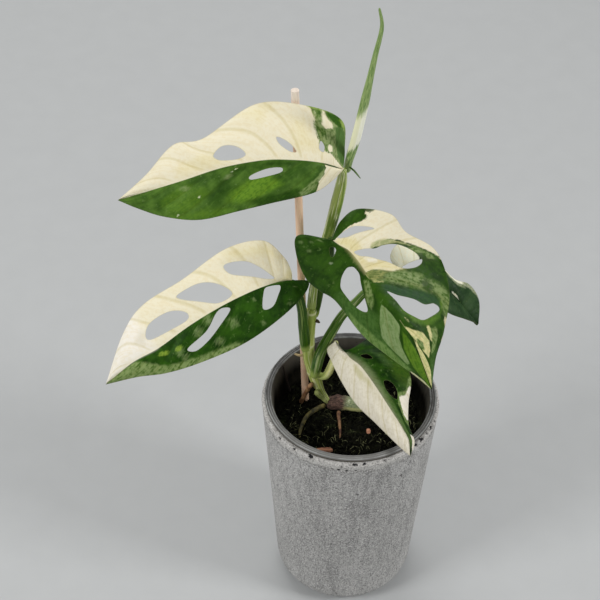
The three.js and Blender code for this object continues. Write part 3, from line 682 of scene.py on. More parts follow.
CUTTING_HEIGHT = MIX_TOP + 4
ROUGH, SMOOTH, GREEN_FROM = 0.14, 0.05, 0.45  # relief of the brown and green skin, where one ends
cutting_path = [(-17, 9, CUTTING_HEIGHT + 0.6), (-8, 9.6, CUTTING_HEIGHT + 0.8),
                (3, 9, CUTTING_HEIGHT), (13, 8, CUTTING_HEIGHT)]
rough_skin = lambda angle, share: 1 + (SMOOTH if share > GREEN_FROM else ROUGH) * noise.noise(
    Vector((9 * share, 1.6 * math.cos(angle), 1.6 * math.sin(angle))))
cutting = stalk_mesh("cutting_old", cutting_path, [4, 5.8, 5.2, 5.4, 5], 32, 0.6, rough_skin)
old_skin = Finish("fibrous_old_skin", Roughness=0.82)
on_cutting = old_skin.attribute("stalk", "Vector")
fibre = old_skin.noise(old_skin.scaled(on_cutting, (0.25, 5, 5)), 2.0, 4.0, 0.65)
blotch = old_skin.noise(old_skin.place(), 300.0, 3.0)
brown_tone = old_skin.over(srgb(48, 34, 27), srgb(128, 96, 82), fibre, 0.35, 0.7)
brown_tone = old_skin.over(brown_tone, srgb(28, 20, 16), blotch, 0.5, 0.7, 0.7)
green_tone = old_skin.over(srgb(104, 120, 84), srgb(170, 180, 134), fibre, 0.35, 0.65)
green_tone = old_skin.over(green_tone, srgb(214, 216, 188), blotch, 0.54, 0.64, 0.7)
lower_front = old_skin.part(on_cutting, 1)
green_tone = old_skin.over(green_tone, srgb(214, 214, 140), lower_front, 0.5, 0.75, 0.85)
ragged_along = old_skin.plus(old_skin.part(on_cutting, 0), old_skin.times(blotch, 6))
old_skin.set(Base_Color=old_skin.over(brown_tone, green_tone, ragged_along, 13, 20),
             Normal=old_skin.bump(fibre, 0.0008))
shown(cutting, "cutting_old", old_skin)
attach(cutting, "root")
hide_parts("old_cutting")


# Main stem
# The green shoot that grew from the cutting and bears all the leaves. It is thicker and ringed
# with a pale scar at each node. A dry scale and the stub of a pale root stand on it.

STEM_PATH = [
    (-16.4, 8, 171), (-18.2, 8, 174.8), (-21.6, 8.2, 181.8), (-24.3, 9.8, 188), (-27.6, 12.6, 199),
    (-30.5, 14.5, 210.5), (-31, 15, 219.5), (-30.5, 15, 231.5), (-30, 15, 244.5), (-29.7, 15, 258),
]
STEM_RADII = [1.9, 2.3, 3.9, 4.7, 4.6, 4.4, 4.2, 3.8, 3.7, 4.1, 3.3]
STEM_LENGTH, STEM_RINGS = 90.3, (29.3, 55.3, 87.3)  # in mm, and how far along it each ring is
NODE_SWELLS, SHOOT_STARTS = 0.3, 3  # how far a node stands out, and how far a shoot runs square
ringed = lambda angle, share: 1 + 0.06 * sum(
    math.exp(-((share * STEM_LENGTH - ring) / 1.1) ** 2) for ring in STEM_RINGS)
main_stem = stalk_mesh("stem_green", STEM_PATH, STEM_RADII, 32, 0.7, ringed)

FOOT_TONE = srgb(182, 202, 106)


def green_skin(name, dark, light, line, line_share, rings=(), foot_share=0.0):
    """Waxy green skin in two tones, with pale lines along it and pale rings at these lengths. Its
    foot takes on the stem's tone by foot_share."""
    skin = Finish(name, Roughness=0.38, Specular_IOR_Level=0.2)
    where = skin.attribute("stalk", "Vector")
    long = skin.scaled(where, (0.012, 1.6, 1.6))
    lines = skin.noise(long, 3.0, 1.0, 0.4)
    tone = skin.over(dark, light, skin.noise(long, 1.3, 2.0, 0.5), 0.38, 0.62)
    tone = skin.over(tone, line, lines, 0.56, 0.62, line_share)
    tone = skin.over(tone, line, skin.noise(skin.place(), 900.0, 2.0), 0.6, 0.8, 0.25)
    length = skin.part(where, 0)
    ragged_length = skin.plus(length, skin.times(lines, 4))
    tone = skin.mix(skin.between(ragged_length, 7, 13, foot_share, 0.0), tone, FOOT_TONE)
    for ring in rings:
        tone = skin.mix(skin.between(skin.away(length, ring), 0.5, 1.6, 0.8, 0.0), tone, line)
    skin.set(Base_Color=tone, Normal=skin.bump(lines, 0.0002))
    return skin


stem_skin = green_skin("stem_skin", srgb(160, 182, 78), srgb(216, 226, 132), srgb(244, 246, 190), 0.8,
                       STEM_RINGS)
shown(main_stem, "stem_green", stem_skin)
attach(main_stem, "root")
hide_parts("main_stem")


def flecked(name, roughness, fineness, dark, light, relief):
    """A plain rough skin, flecked in two tones."""
    skin = Finish(name, Roughness=roughness)
    fleck = skin.noise(skin.place(), fineness, 3.0)
    skin.set(Base_Color=skin.mix(fleck, dark, light), Normal=skin.bump(fleck, relief))
    return skin


STUBS = {
    "scale_stub_dry": dict(
        path=[(-27.2, 14.2, 247.4), (-25.2, 13, 247.4), (-23.4, 12.2, 246.6)],
        radii=[1.2, 1.3, 0.6], tones=(srgb(60, 50, 34), srgb(104, 88, 60))),
    "root_stub_beige": dict(
        path=[(-33.4, 13.6, 212.6), (-37, 12.6, 213), (-41, 13, 214)],
        radii=[0.9, 1.0, 0.9, 0.5], tones=(srgb(176, 150, 104), srgb(222, 200, 156))),
}
for name, stub in STUBS.items():
    piece = stalk_mesh(name, stub["path"], stub["radii"], 14, 0.5, blunt=0.9)
    shown(piece, name, flecked("dry_" + name, 0.8, 700.0, *stub["tones"], 0.0004))
    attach(piece, "root")


# Roots
# Four aerial roots: two leave the stem, one of them dives into the mix beside the stick, and two
# crawl over the mix from under the cutting. Each tapers to a fine tip.

def from_stem(height, heading):
    """The first two points of a shoot that leaves the stem square to it, at a height and towards
    a heading in degrees from +X."""
    shares = np.linspace(0, 1, 4001)
    middle, _ = even_steps(STEM_PATH, len(shares))
    i = int(np.argmax(middle[:, 2] >= height))
    tangent = middle[i + 1] - middle[i - 1]
    tangent /= np.linalg.norm(tangent)
    a = math.radians(heading)
    outwards = np.array([math.cos(a), math.sin(a), 0])
    outwards -= outwards.dot(tangent) * tangent
    outwards /= np.linalg.norm(outwards)
    radius = np.interp(shares[i], np.linspace(0, 1, len(STEM_RADII)), STEM_RADII)
    start = middle[i] + outwards * (radius + NODE_SWELLS + GAP)
    return [start, start + SHOOT_STARTS * outwards]


ROOTS = {
    "brown": dict(path=[*from_stem(190, 235), (-31.5, 9, 179.5), (-35.5, 14, 162), (-36.5, 15.5, 152)],
                  radii=[1.6, 1.7, 1.6, 1.6, 1.2], dark=srgb(132, 92, 62), light=srgb(188, 146, 102)),
    "pale": dict(path=[*from_stem(184, -100), (-20.5, 2, 180.5), (-18, 1.5, 177.5), (-16.5, 2, 174.5)],
                 radii=[1.6, 1.9, 1.8, 1.5, 0.8], dark=srgb(120, 132, 66), light=srgb(176, 184, 112)),
    "olive": dict(path=[(-17.9, 7.8, 166), (-23, 6.5, 163.5), (-29, 2, 163), (-33.5, -6, 163),
                        (-36, -16, 162.5), (-37, -26, 157)],
                  radii=[1.8, 1.7, 1.5, 1.2, 0.8], dark=srgb(46, 44, 18), light=srgb(112, 102, 50)),
    "thin": dict(path=[(-8, 2.2, 166), (-8, -0.5, 163.5), (-7.5, -6, 162.6), (-7, -16, 162.4),
                       (-7.5, -25, 158)],
                 radii=[1.4, 1.1, 0.7, 0.4], dark=srgb(80, 50, 34), light=srgb(150, 112, 76)),
}
uneven = lambda angle, share: 1 + 0.07 * math.sin(3 * angle + 21 * share)
for name, root in ROOTS.items():
    piece = stalk_mesh("root_skin_" + name, root["path"], root["radii"], 16, 0.5, uneven, 0.9)
    root_skin = Finish("root_" + name, Roughness=0.7)
    felt = root_skin.noise(root_skin.place(), 700.0, 3.0, 0.6)
    band = root_skin.noise(root_skin.place(), 160.0, 2.0)
    tone = root_skin.over(root["dark"], root["light"], band, 0.35, 0.65)
    tone = root_skin.over(tone, root["dark"], felt, 0.55, 0.75, 0.5)
    root_skin.set(Base_Color=tone, Normal=root_skin.bump(felt, 0.0004))
    shown(piece, piece.name, root_skin)
    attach(piece, "root")
    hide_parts("root_" + name)


# Leaf stalks
# Each blade hangs on a fleshy stalk that leaves the stem at a node, is as pale as the stem at its
# foot, has a shallow channel on its upper side, and ends just below the blade.

# Each blade: its joint and tip, the way that it faces, and, in its own frame, its two margins and
# its midrib between these ends. There x runs to the tip, y to the right margin and z upwards. Its
# holes are outlines in percent of the way along, and of a quarter of its length across.
BLADE, BLADE_CROWN = 0.9, 2  # how thick a blade's seat is, and how far each half arches, in mm
LEAVES = {
    "top": dict(
        joint=(-12, -8, 401), tip=(-150, -30, 392), face=(0.08, -0.69, 0.72), long=140,
        left=[(-3, -13, -3), (-4, -31, -5), (16, -42, 0), (48, -47, 3), (83, -30, 6), (102, -29, 1),
              (121, -13, 1)],
        midrib=[(7, -3, 3), (16, -6, 7), (31, -9, 10), (49, -11, 12), (74, -10, 11), (99, -6, 6),
                (119, -3, 3)],
        right=[(8, 6, -1), (21, 12, 1), (47, 15, 5), (67, 17, 5), (92, 19, 3), (113, 14, 0),
               (128, 7, 0)],
        holes=[[(63, -40), (60, -55), (57, -42), (55, -17), (58, -12), (62, -22)],
               [(45, -38), (41, -30), (37, -15), (40, -15), (44, -26)],
               [(29, -42), (26, -34), (25, -23), (28, -27)],
               [(52, 29), (47, 19), (41, 18), (40, 28), (45, 35), (51, 38)]]),
    "left": dict(
        joint=(-43, 6, 292), tip=(-167, -50, 247), face=(0, -0.68, 0.73), long=143,
        left=[(-3, -7, -1), (-3, -18, -1), (4, -34, -1), (29, -41, 1), (64, -37, 1), (96, -35, -2),
              (117, -24, 0)],
        midrib=[(5, -3, 3), (13, -5, 5), (28, -7, 7), (50, -8, 7), (75, -7, 6), (100, -4, 4),
                (120, -4, 4)],
        right=[(-10, 5, -4), (-2, 12, -2), (20, 18, 0), (49, 21, 1), (81, 18, 2), (104, 13, 1),
               (122, 6, 2)],
        holes=[[(50, -71), (43, -64), (37, -49), (25, -21), (30, -19), (38, -29), (47, -48)],
               [(65, -73), (59, -71), (52, -44), (46, -12), (52, -10), (60, -42)],
               [(78, -40), (75, -56), (68, -53), (63, -30), (63, -14), (70, -18), (77, -26)],
               [(50, 5), (48, 16), (53, 36), (59, 60), (63, 67), (65, 52), (58, 35), (53, 9)],
               [(30, 6), (24, 20), (31, 48), (36, 64), (39, 55), (35, 25)]]),
    "right": dict(
        joint=(-18, -8, 343), tip=(51, -55, 252), face=(0.12, -0.85, 0.52), long=123,
        left=[(-13, -16, -7), (-3, -24, -12), (16, -28, -17), (28, -25, -16), (39, -20, -11),
              (67, -18, -9), (90, -11, -6), (109, -4, -2)],
        midrib=[(6, 2, 1), (12, 5, 3), (21, 6, 3), (27, 6, 3), (34, 6, 3), (51, 7, 4), (73, 8, 4),
                (95, 6, 3)],
        right=[(-5, 12, -8), (-4, 26, -13), (12, 42, -17), (28, 44, -17), (51, 54, -21),
               (77, 47, -16), (96, 29, -8), (107, 14, -2)],
        holes=[[(18, -31), (16, -21), (20, -21), (25, -32), (25, -38)],
               [(37, -29), (36, -16), (40, -11), (51, -14), (61, -38), (64, -54), (59, -71),
                (50, -64)],
               [(8, 37), (13, 51), (24, 61), (30, 65), (29, 59), (20, 35), (13, 32)],
               [(27, 8), (32, 25), (38, 38), (41, 54), (46, 73), (53, 76), (57, 75), (58, 60),
                (56, 44), (49, 35), (42, 26), (32, 10)],
               [(64, 11), (66, 22), (68, 42), (70, 57), (70, 74), (72, 83), (74, 65), (75, 49),
                (74, 34), (72, 20), (68, 15)]]),
    "low": dict(
        joint=(-12, 10, 231), tip=(40, -62, 192.5), face=(-0.12, -0.5, 0.85), long=97,
        left=[(1, -8, -3), (9, -10, -4), (26, -12, -3), (45, -12, -4), (63, -8, -3), (82, -4, -1),
              (90, -2, -1)],
        midrib=[(7, 1, 0), (16, 2, 1), (26, 5, 3), (43, 6, 3), (62, 6, 3), (78, 6, 2), (88, 5, 2)],
        right=[(12, 3, 0), (10, 23, -7), (28, 33, -6), (49, 31, -6), (65, 19, -3), (78, 11, 0),
               (90, 8, 0)],
        holes=[[(30, 23), (32, 37), (36, 37), (34, 24)],
               [(49, 27), (50, 42), (55, 53), (59, 48), (57, 30), (53, 22)]]),
    "rear": dict(
        joint=(29, 27, 284), tip=(86, 12, 247), face=(0.5, -0.3, 0.8), long=70,
        left=[(-2, -7, 2), (3, -14, 7), (15, -16, 10), (30, -15, 12), (44, -13, 10), (57, -7, 7),
              (66, -1, 2)],
        midrib=[(4, 1, 4), (11, 2, 8), (23, 3, 10), (36, 3, 10), (48, 2, 8), (58, 1, 5),
                (65, 0, 2)],
        right=[(-8, 7, -1), (-9, 15, 4), (0, 21, 9), (17, 18, 12), (36, 13, 12), (50, 19, 9),
               (63, 15, 5)],
        holes=[[(39, -62), (42, -54), (52, -64), (57, -76), (53, -82), (46, -78)],
               [(11, 20), (24, 33), (38, 52), (34, 28), (24, 9), (14, 6)]]),
}
STALKS = {
    "top": dict(
        path=[(-29.6, 15, 258.6), (-29.3, 15, 264), (-29, 15, 269), (-28, 15, 280.5),
              (-25, 14.5, 302.5), (-18, 13, 337), (-13, 4, 377)],
        radii=[3.3, 3, 3, 3.3, 3.8, 4, 3.6, 2.4],
        tones=(srgb(112, 140, 48), srgb(178, 194, 104), srgb(236, 240, 190), 0.8)),
    "right": dict(
        path=[*from_stem(246, 60), (-25.8, 21.5, 252.5), (-25.3, 21, 257.5), (-24.5, 20.5, 265.5),
              (-23.3, 19.5, 276), (-19, 16, 289), (-18, 10, 306.5), (-17.7, 2, 324.5)],
        radii=[1.7, 2.7, 2.9, 2.9, 2.8, 2.6, 2.5, 2.4, 2.2, 2],
        tones=(srgb(46, 82, 14), srgb(72, 106, 30), srgb(120, 146, 72), 0.4)),
    "left": dict(
        path=[*from_stem(225.5, -110), (-33.8, 7, 235), (-35, 7.5, 248), (-36, 8.5, 261.5),
              (-38, 10, 271.5), (-40.5, 10.5, 279)],
        radii=[2.8, 3.9, 3.7, 3.5, 3.3, 2.9, 2.2],
        tones=(srgb(38, 78, 0), srgb(66, 104, 14), srgb(168, 190, 104), 0.55)),
    "rear": dict(
        path=[*from_stem(200, -75), (-25, 5, 210.5), (-23, 10, 216.5), (-19.7, 13.5, 223.5),
              (-14, 17, 235), (-7.5, 20, 247), (2, 23, 258), (8, 24.5, 265.5), (17.5, 26, 274)],
        radii=[3.2, 4, 3.9, 3.6, 3.3, 3, 2.6, 2.2, 1.8],
        tones=(srgb(52, 90, 18), srgb(88, 122, 42), srgb(196, 206, 146), 0.5)),
    "low": dict(
        path=[*from_stem(195, -42), (-17.6, 6, 200.3), (-14.7, 8.3, 206), (-11.2, 13, 214)],
        radii=[2.5, 3, 3.1, 2.6, 1.4],
        tones=(srgb(238, 238, 138), srgb(255, 252, 186), srgb(255, 255, 214), 0.6)),
}
channelled = lambda angle, share: 1 - 0.12 * max(0.0, math.cos(angle)) ** 8
for name, stalk in STALKS.items():
    face = np.array(LEAVES[name]["face"], float)
    face /= np.linalg.norm(face)
    seat = np.array(LEAVES[name]["joint"]) - face * (BLADE / 2 + GAP + 0.5 * stalk["radii"][-1])
    piece = stalk_mesh("stalk_" + name, [*stalk["path"], seat], stalk["radii"], 28, 0.8, channelled)
    shown(piece, "stalk_" + name, green_skin("stalk_skin_" + name, *stalk["tones"], foot_share=0.8))
    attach(piece, "root")
    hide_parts("petiole_" + name)


# Leaf blades
# Five thin, satin blades, most of them cream on one side of the midrib and green on the other,
# with patches and streaks of both that follow the side veins, and long holes between the veins.

WHOLE_LEFT_HALF = [(-5, 0), (105, 0), (105, -140), (-5, -140)]
CREAM = (srgb(249, 241, 212), srgb(245, 234, 200))
YELLOW_CREAM = (srgb(240, 227, 168), srgb(232, 217, 152))
SAGE = (srgb(140, 160, 98), srgb(76, 108, 38))
SMOOTH_SAGE = (srgb(142, 164, 108), srgb(118, 146, 84))
# pale green, both for flecks and for painted sheen spots
PALE_FLECK_AND_SHEEN = (srgb(160, 178, 120), srgb(112, 140, 76))
BRIGHT = (srgb(112, 152, 42), srgb(84, 126, 30))
DEEP = (srgb(32, 64, 6), srgb(50, 86, 16))


def spots(places, long=1.6, wide=8):
    """Small round outlines at the given places, in the percent that outlines are given in."""
    return [[(along + long * math.cos(k * math.pi / 3), across + wide * math.sin(k * math.pi / 3))
             for k in range(6)] for along, across in places]


# What each blade's green is, and its patches in the order that they overlie each other: main and
# mottling colour, how far the edge frays and how soft it is in mm, how strong the patch is, and
# outlines in percent of the way along and across.
MARKS = {
    "top": dict(green=(srgb(54, 88, 24), srgb(92, 128, 48)), patches=[
        (*BRIGHT, 2, 3, 0.45, [
            [(77, 30), (73, 16), (67, 30), (63, 52), (65, 72), (69, 92), (76, 84), (80, 56)],
            [(56, 84), (63, 80), (70, 88), (74, 99), (62, 104), (52, 98)]]),
        (*BRIGHT, 2, 3, 0.9, [
            [(51, 28), (48, 27), (39, 48), (37, 60), (41, 71), (46, 83), (52, 83), (56, 70), (56, 56),
             (53, 44)]]),
        (*DEEP, 2, 2, 0.85, [
            [(55, 0), (54, 9), (58, 34), (58, 52), (60, 62), (63, 56), (62, 42), (61, 25), (58, 10)],
            [(49, 82), (43, 79), (35, 80), (31, 72), (27, 91), (29, 108), (35, 108), (42, 101)],
            [(34, 4), (36, 14), (41, 12), (47, 14), (52, 16), (48, 3)]]),
        (srgb(228, 232, 204), srgb(180, 194, 130), 0.4, 0.25, 0.9, [
            [(65.6, 50), (66.8, 51), (66.4, 57), (65.8, 57)], [(70, 88), (70.8, 88), (70.8, 97), (70.2, 96)],
            [(56.5, 7), (58, 8), (59.4, 14), (58.8, 15), (57.6, 10)]]),
        (*PALE_FLECK_AND_SHEEN, 1, 1, 0.5, spots([(73.5, 24), (72, 30), (59.5, 22)], 1.4, 6)),
        (*YELLOW_CREAM, 0.8, 0.5, 0.35, [
            [(19.5, 3), (18, 19), (21, 44), (24.5, 62), (22.5, 71), (23, 92), (24, 110), (-5, 110),
             (-5, 3)]]),
        (*CREAM, 0.8, 0.5, 0.95, [
            [(19.5, 4), (18, 19), (21, 44), (24.5, 62), (22.5, 71), (23, 92), (24, 110), (-5, 110),
             (-5, 8)]]),
        (*SAGE, 1.6, 0.7, 0.9, [
            [(19.5, 18), (24, 50), (27, 66), (30, 84), (29, 100), (24, 90), (23.5, 74), (19.5, 46)]]),
        (*CREAM, 0, 0.3, 1, [WHOLE_LEFT_HALF]),
        (*YELLOW_CREAM, 2, 4, 0.4, [
            [(60, -8), (61, -36), (66, -56), (70, -48), (76, -36), (76, -8)],
            [(46, -96), (50, -60), (54, -96)], [(24, -22), (34, -50), (37, -74), (42, -74), (38, -20)]]),
        (*SAGE, 1.8, 0.6, 0.95, [
            [(37.5, -104), (35, -84), (34, -68), (31.5, -52), (29.5, -38), (25, -25), (17.5, -31), (9, -30),
             (2, -30), (0, -112), (30, -116)]]),
        (srgb(92, 124, 48), srgb(58, 94, 26), 1.6, 0.8, 0.8, [
            [(37, -106), (35.5, -90), (34, -78), (33, -86), (34.4, -106)],
            [(34, -66), (32, -52), (30, -44), (28, -60), (31, -68)],
            [(26, -30), (22, -26), (18, -34), (22, -36)]]),
        (*CREAM, 1, 0.5, 0.95, [
            [(34.2, -108), (32.6, -90), (31.4, -72), (29.5, -67), (26.6, -74), (27.4, -81), (30.2, -85),
             (31.9, -92), (33.4, -108)], [(24.5, -42), (22, -44), (19.5, -37), (21, -29), (24, -33)]]),
        (srgb(36, 82, 4), srgb(66, 108, 20), 1.4, 0.6, 0.95, [
            [(32.8, -106), (31.4, -94), (30, -88), (27, -83), (24, -84), (22, -94), (20, -106), (26, -118),
             (32, -118)]]),
        (srgb(168, 190, 100), srgb(122, 156, 60), 1.2, 0.8, 0.85, [
            [(26, -96), (23.6, -90), (21.5, -95), (19.5, -104), (20.5, -112), (25, -110)],
            [(38, -98), (36.4, -97), (31, -99), (27, -101), (27, -112), (38, -112)]]),
        (srgb(206, 212, 168), srgb(150, 172, 104), 1.4, 0.5, 0.8, [
            [(35.6, -96), (34.2, -88), (34.6, -80), (36, -88)],
            [(32, -62), (30.6, -52), (29.4, -48), (31, -58)]]),
        (srgb(58, 98, 36), srgb(86, 124, 58), 1.4, 0.8, 0.85, [
            [(26.5, -79), (23, -89), (15.5, -99), (5.5, -112), (2, -60), (8, -42), (12, -46), (21, -54)]]),
        (*DEEP, 0.4, 0.4, 0.9, [[(-1, 0), (-1, 9), (6, 11), (13, 8), (20, 5), (23, 0), (10, -3)]]),
    ]),
    "left": dict(green=(srgb(24, 58, 3), srgb(50, 92, 14)), patches=[
        (*SAGE, 2.5, 1.8, 0.95, [
            [(86, 8), (80, 46), (74, 74), (63, 84), (52, 88), (50, 99), (54, 112), (102, 110), (102, 0)]]),
        (*PALE_FLECK_AND_SHEEN, 4, 1.6, 0.5, [
            *spots([(68, 50), (60.5, 27), (56, 12), (49.5, 46)], 1.4, 14),
            *spots([(66.5, 73), (55.5, 70)], 1.1, 10)]),
        (*PALE_FLECK_AND_SHEEN, 2, 0.8, 0.4, spots([(42, 84), (31, 88), (21, 60), (39, 22)], 0.6, 7)),
        (srgb(150, 178, 62), srgb(96, 130, 40), 2, 0.8, 0.8, spots([(74.5, 27), (73, 31), (68, 40)], 1.4, 9)),
        (*CREAM, 0, 0.3, 1, [WHOLE_LEFT_HALF]),
        (*YELLOW_CREAM, 1, 5, 0.55, [
            [(-5, 0), (-5, -120), (10, -120), (16, -70), (14, -24), (24, -4)],
            [(28, -84), (34, -90), (44, -84), (50, -94), (48, -80), (38, -72)]]),
        (srgb(255, 250, 240), srgb(250, 242, 224), 1, 4, 0.8, [
            [(76, -2), (80, -110), (104, -110), (104, -2)]]),
        (srgb(214, 206, 176), srgb(226, 218, 190), 1, 3, 0.4, [[(80, -24), (84, -40), (80, -60), (77, -44)]]),
    ]),
    "right": dict(green=(srgb(30, 62, 5), srgb(56, 94, 18)), patches=[
        (srgb(84, 122, 54), srgb(62, 100, 36), 2, 3, 0.7, [
            [(56, -50), (64, -44), (68, -36), (70, -60), (78, -76), (88, -84), (86, -110), (60, -110),
             (52, -80)],
            [(84, 84), (90, 96), (100, 100), (100, 60), (90, 66)]]),
        # painted sheen: pale spots where the dark green half catches the light
        (*PALE_FLECK_AND_SHEEN, 0.8, 1.2, 0.5, [
            *spots([(16, -88), (14.5, -66), (21, -74)], 1, 4),
            [(8, -58), (10, -44), (12, -40), (10.5, -58)]]),
        # painted highlight: a small bright spot on the green
        (srgb(206, 222, 190), srgb(176, 196, 150), 0.4, 0.7, 0.8, spots([(29, -44)], 0.7, 3)),
        (srgb(128, 158, 86), srgb(96, 132, 60), 1.5, 1, 0.75, [
            [(60.5, -90), (65, -84), (69, -81), (74, -80), (80.5, -84), (86.5, -88), (85.5, -110),
             (69.5, -110), (62, -100)]]),
        (*SAGE, 1.2, 0.7, 0.85, [
            [(55, -12), (56.5, -2), (60.5, -10), (64, -23), (65, -42), (62, -40), (58.5, -23)]]),
        (*SMOOTH_SAGE, 0.6, 0.4, 0.95, [
            [(67, -14), (69.5, -10), (72.5, -9), (76, -10), (77, -14), (78, -36), (80.5, -51), (85.5, -71),
             (84.5, -82), (80.5, -78), (76, -76), (72.5, -71), (69.5, -46), (67.5, -25)]]),
        (*BRIGHT, 1, 0.8, 0.7, [
            [(78.5, -14), (84, -9), (91, -2), (97, 0), (98.5, -59), (93, -79), (88, -74), (81.5, -48)]]),
        (srgb(222, 218, 176), srgb(190, 196, 140), 0.3, 0.3, 0.9, [
            [(86.5, -95), (91, -90), (97, -76), (99, -60), (99, -110), (90, -120)]]),
        (*BRIGHT, 1.5, 1.5, 0.6, [
            [(66, 84), (70, 92), (74, 84), (77, 60), (76, 30), (72, 14), (70, 20), (74, 52), (73, 74)]]),
        (*CREAM, 0.9, 0.4, 1, [
            [(1, 4), (20, 2), (51, 2), (50.5, 11), (53, 20), (56.5, 32), (57, 47), (50, 40), (38, 30),
             (34.5, 34), (37, 54), (44.5, 81), (49.5, 86), (52.5, 88), (55, 93), (59, 102), (57, 116),
             (24.5, 116), (25, 97), (25, 91), (26, 87), (26, 78), (23.5, 69), (19, 62), (14, 55), (6, 36)]]),
        (*YELLOW_CREAM, 2, 3, 0.75, [
            [(3, 8), (9, 26), (18, 30), (25, 34), (30, 24), (34, 14), (44, 30), (50, 38), (57, 47),
             (56.5, 32), (53, 20), (50.5, 11), (51.5, 2), (30, 0)]]),
        # painted highlight: a whiter streak on the cream
        (srgb(255, 250, 232), srgb(252, 244, 214), 0.6, 1, 0.8, [
            [(32, 10), (39, 21), (45.5, 31), (47.5, 25), (42.5, 16)]]),
        (srgb(108, 126, 62), srgb(164, 168, 100), 1.2, 0.8, 0.95, [
            [(50, 2), (50.5, 11), (53.5, 20), (56, 27), (57.5, 19), (59.4, 15), (58.6, 4), (55, 0)]]),
        (srgb(206, 204, 140), srgb(176, 180, 110), 0.2, 0.3, 0.85, [
            [(51.5, -0.5), (55, -0.5), (58.8, 1.5), (60.2, 15), (59.4, 16), (58.2, 5), (55, 2)]]),
        (srgb(178, 184, 126), srgb(214, 210, 160), 1, 0.7, 0.9, [
            [(34.5, 30), (33.5, 41), (36.5, 55), (41.5, 71), (45.5, 80), (50, 84), (48, 76), (44, 66),
             (40, 50)]]),
        (*SAGE, 1.2, 0.6, 0.9, [
            [(49, 76), (50, 86), (53, 86), (56, 92), (58.5, 92), (57, 74)]]),
        (*DEEP, 0.8, 0.4, 0.9, [
            [(42, 60), (45, 76), (48, 80), (51, 82), (50.5, 78), (47, 71)],
            [(24, 97), (26.5, 92), (28, 101), (31, 104), (27, 112), (23, 112)],
            [(53, 76), (54, 82), (56.5, 84), (58, 94), (60, 104), (62, 104), (62, 84), (58, 72)]]),
        (*SAGE, 1.6, 1.1, 0.95, [
            [(56, 24), (57.5, 45), (59, 54), (60.5, 66), (62, 68), (64, 82), (65.5, 91), (67.5, 99),
             (71, 108), (76, 108), (73, 92), (69, 85), (66.8, 76), (66.5, 66), (65, 57), (63.5, 44), (62, 31),
             (60, 17), (59, 14)]]),
        (srgb(40, 76, 40), srgb(56, 92, 50), 1.2, 0.9, 0.9, [
            [(60.5, 10), (63.5, 30), (65, 48), (66.5, 66), (69, 84), (73, 84), (70, 55), (67, 28),
             (64.5, 8)]]),
        (*DEEP, 1.4, 1, 0.8, [[(63, 58), (62, 70), (65.5, 78), (67, 66)]]),
        (srgb(238, 228, 166), srgb(196, 200, 132), 0.9, 0.4, 0.95, [
            [(76, 0), (78.5, 2), (79, 16), (79.5, 44), (82.5, 60), (86.5, 66), (89.5, 58), (88, 41), (87, 30),
             (84, 40), (83, 26), (85, 20), (82, 7), (79, 0)],
            [(83, 10), (86.5, 20), (89.5, 36), (94, 66), (99, 60), (98, 10), (92, 4)],
            [(77, 55), (76.5, 62), (80, 72), (83, 78), (82, 65)],
            [(74.5, 13), (75, 18), (76, 21), (76, 15)]]),
        (*SAGE, 1, 0.6, 0.95, [
            [(82.5, 22), (84, 40), (87, 40), (86.5, 26), (84.5, 16)],
            [(77.5, 66), (76.8, 80), (80, 86), (86, 84), (88, 70), (84, 72)]]),
        (srgb(244, 232, 190), srgb(226, 214, 160), 0.5, 0.4, 0.95, [
            [(73, 96), (75.5, 108), (78, 112), (82, 108), (81.5, 98), (77.5, 103), (74.5, 94)]]),
    ]),
    "low": dict(green=(srgb(8, 38, 0), srgb(42, 80, 8)), patches=[
        (*BRIGHT, 2, 3, 0.25, [[(36, 60), (40, 84), (45, 106), (56, 106), (55, 80), (49, 58)]]),
        (srgb(92, 122, 72), srgb(70, 104, 48), 1.4, 1.5, 0.35, [[(32, 50), (36, 64), (44, 66), (42, 48)]]),
        (srgb(78, 110, 48), srgb(58, 92, 30), 1.2, 1, 0.6, [
            [(12, 0), (22, 14), (34, 16), (40, 17), (40, 0)]]),
        (srgb(94, 120, 64), srgb(72, 102, 44), 1.2, 2, 0.85, [
            [(38, 0), (40, 16), (44, 18), (52, 20), (60, 28), (70, 40), (90, 60), (94, 0)]]),
        (*SAGE, 1.6, 0.7, 0.9, [
            [(56, 54), (56, 82), (50, 94), (49, 108), (76, 108), (75, 84), (72, 60), (62, 48)]]),
        (srgb(252, 244, 228), srgb(246, 238, 218), 0.8, 0.5, 1, [
            [(58, 58), (58, 82), (54, 94), (56, 108), (72, 108), (72, 84), (68, 64)],
            [(82, 56), (84, 106), (97, 106), (93, 56)]]),
        (srgb(240, 233, 214), srgb(228, 220, 196), 0, 0.3, 1, [WHOLE_LEFT_HALF]),
        # painted shade: the cream darker along the midrib
        (srgb(212, 204, 176), srgb(200, 192, 158), 1, 5, 0.5, [
            [(20, 2), (26, -18), (44, -30), (60, -26), (72, -10), (74, 2)]]),
        (srgb(190, 184, 128), srgb(210, 204, 160), 2, 1.6, 0.6, [
            [(34, -14), (37, -32), (43, -34), (45, -20), (41, -10)],
            [(46, -4), (50, -12), (48, -22), (44, -14)],
            [(22, -28), (25, -40), (28, -30)]]),
    ]),
    "rear": dict(green=(srgb(34, 62, 30), srgb(60, 88, 50)), patches=[
        (srgb(255, 255, 232), srgb(255, 250, 220), 0.8, 0.4, 1, [
            [(-5, 8), (12, 8), (24, 18), (32, 34), (34, 56), (32, 82), (28, 110), (-5, 110)],
            [(56, 82), (62, 82), (70, 86), (72, 110), (54, 110)], [(54, 3), (62, 5), (60, 12), (55, 11)]]),
        (srgb(176, 180, 148), srgb(120, 138, 96), 1.2, 0.7, 0.9, [
            [(68, 80), (78, 80), (86, 96), (84, 110), (70, 110)], [(56, 66), (70, 72), (68, 86), (56, 84)]]),
    ]),
}
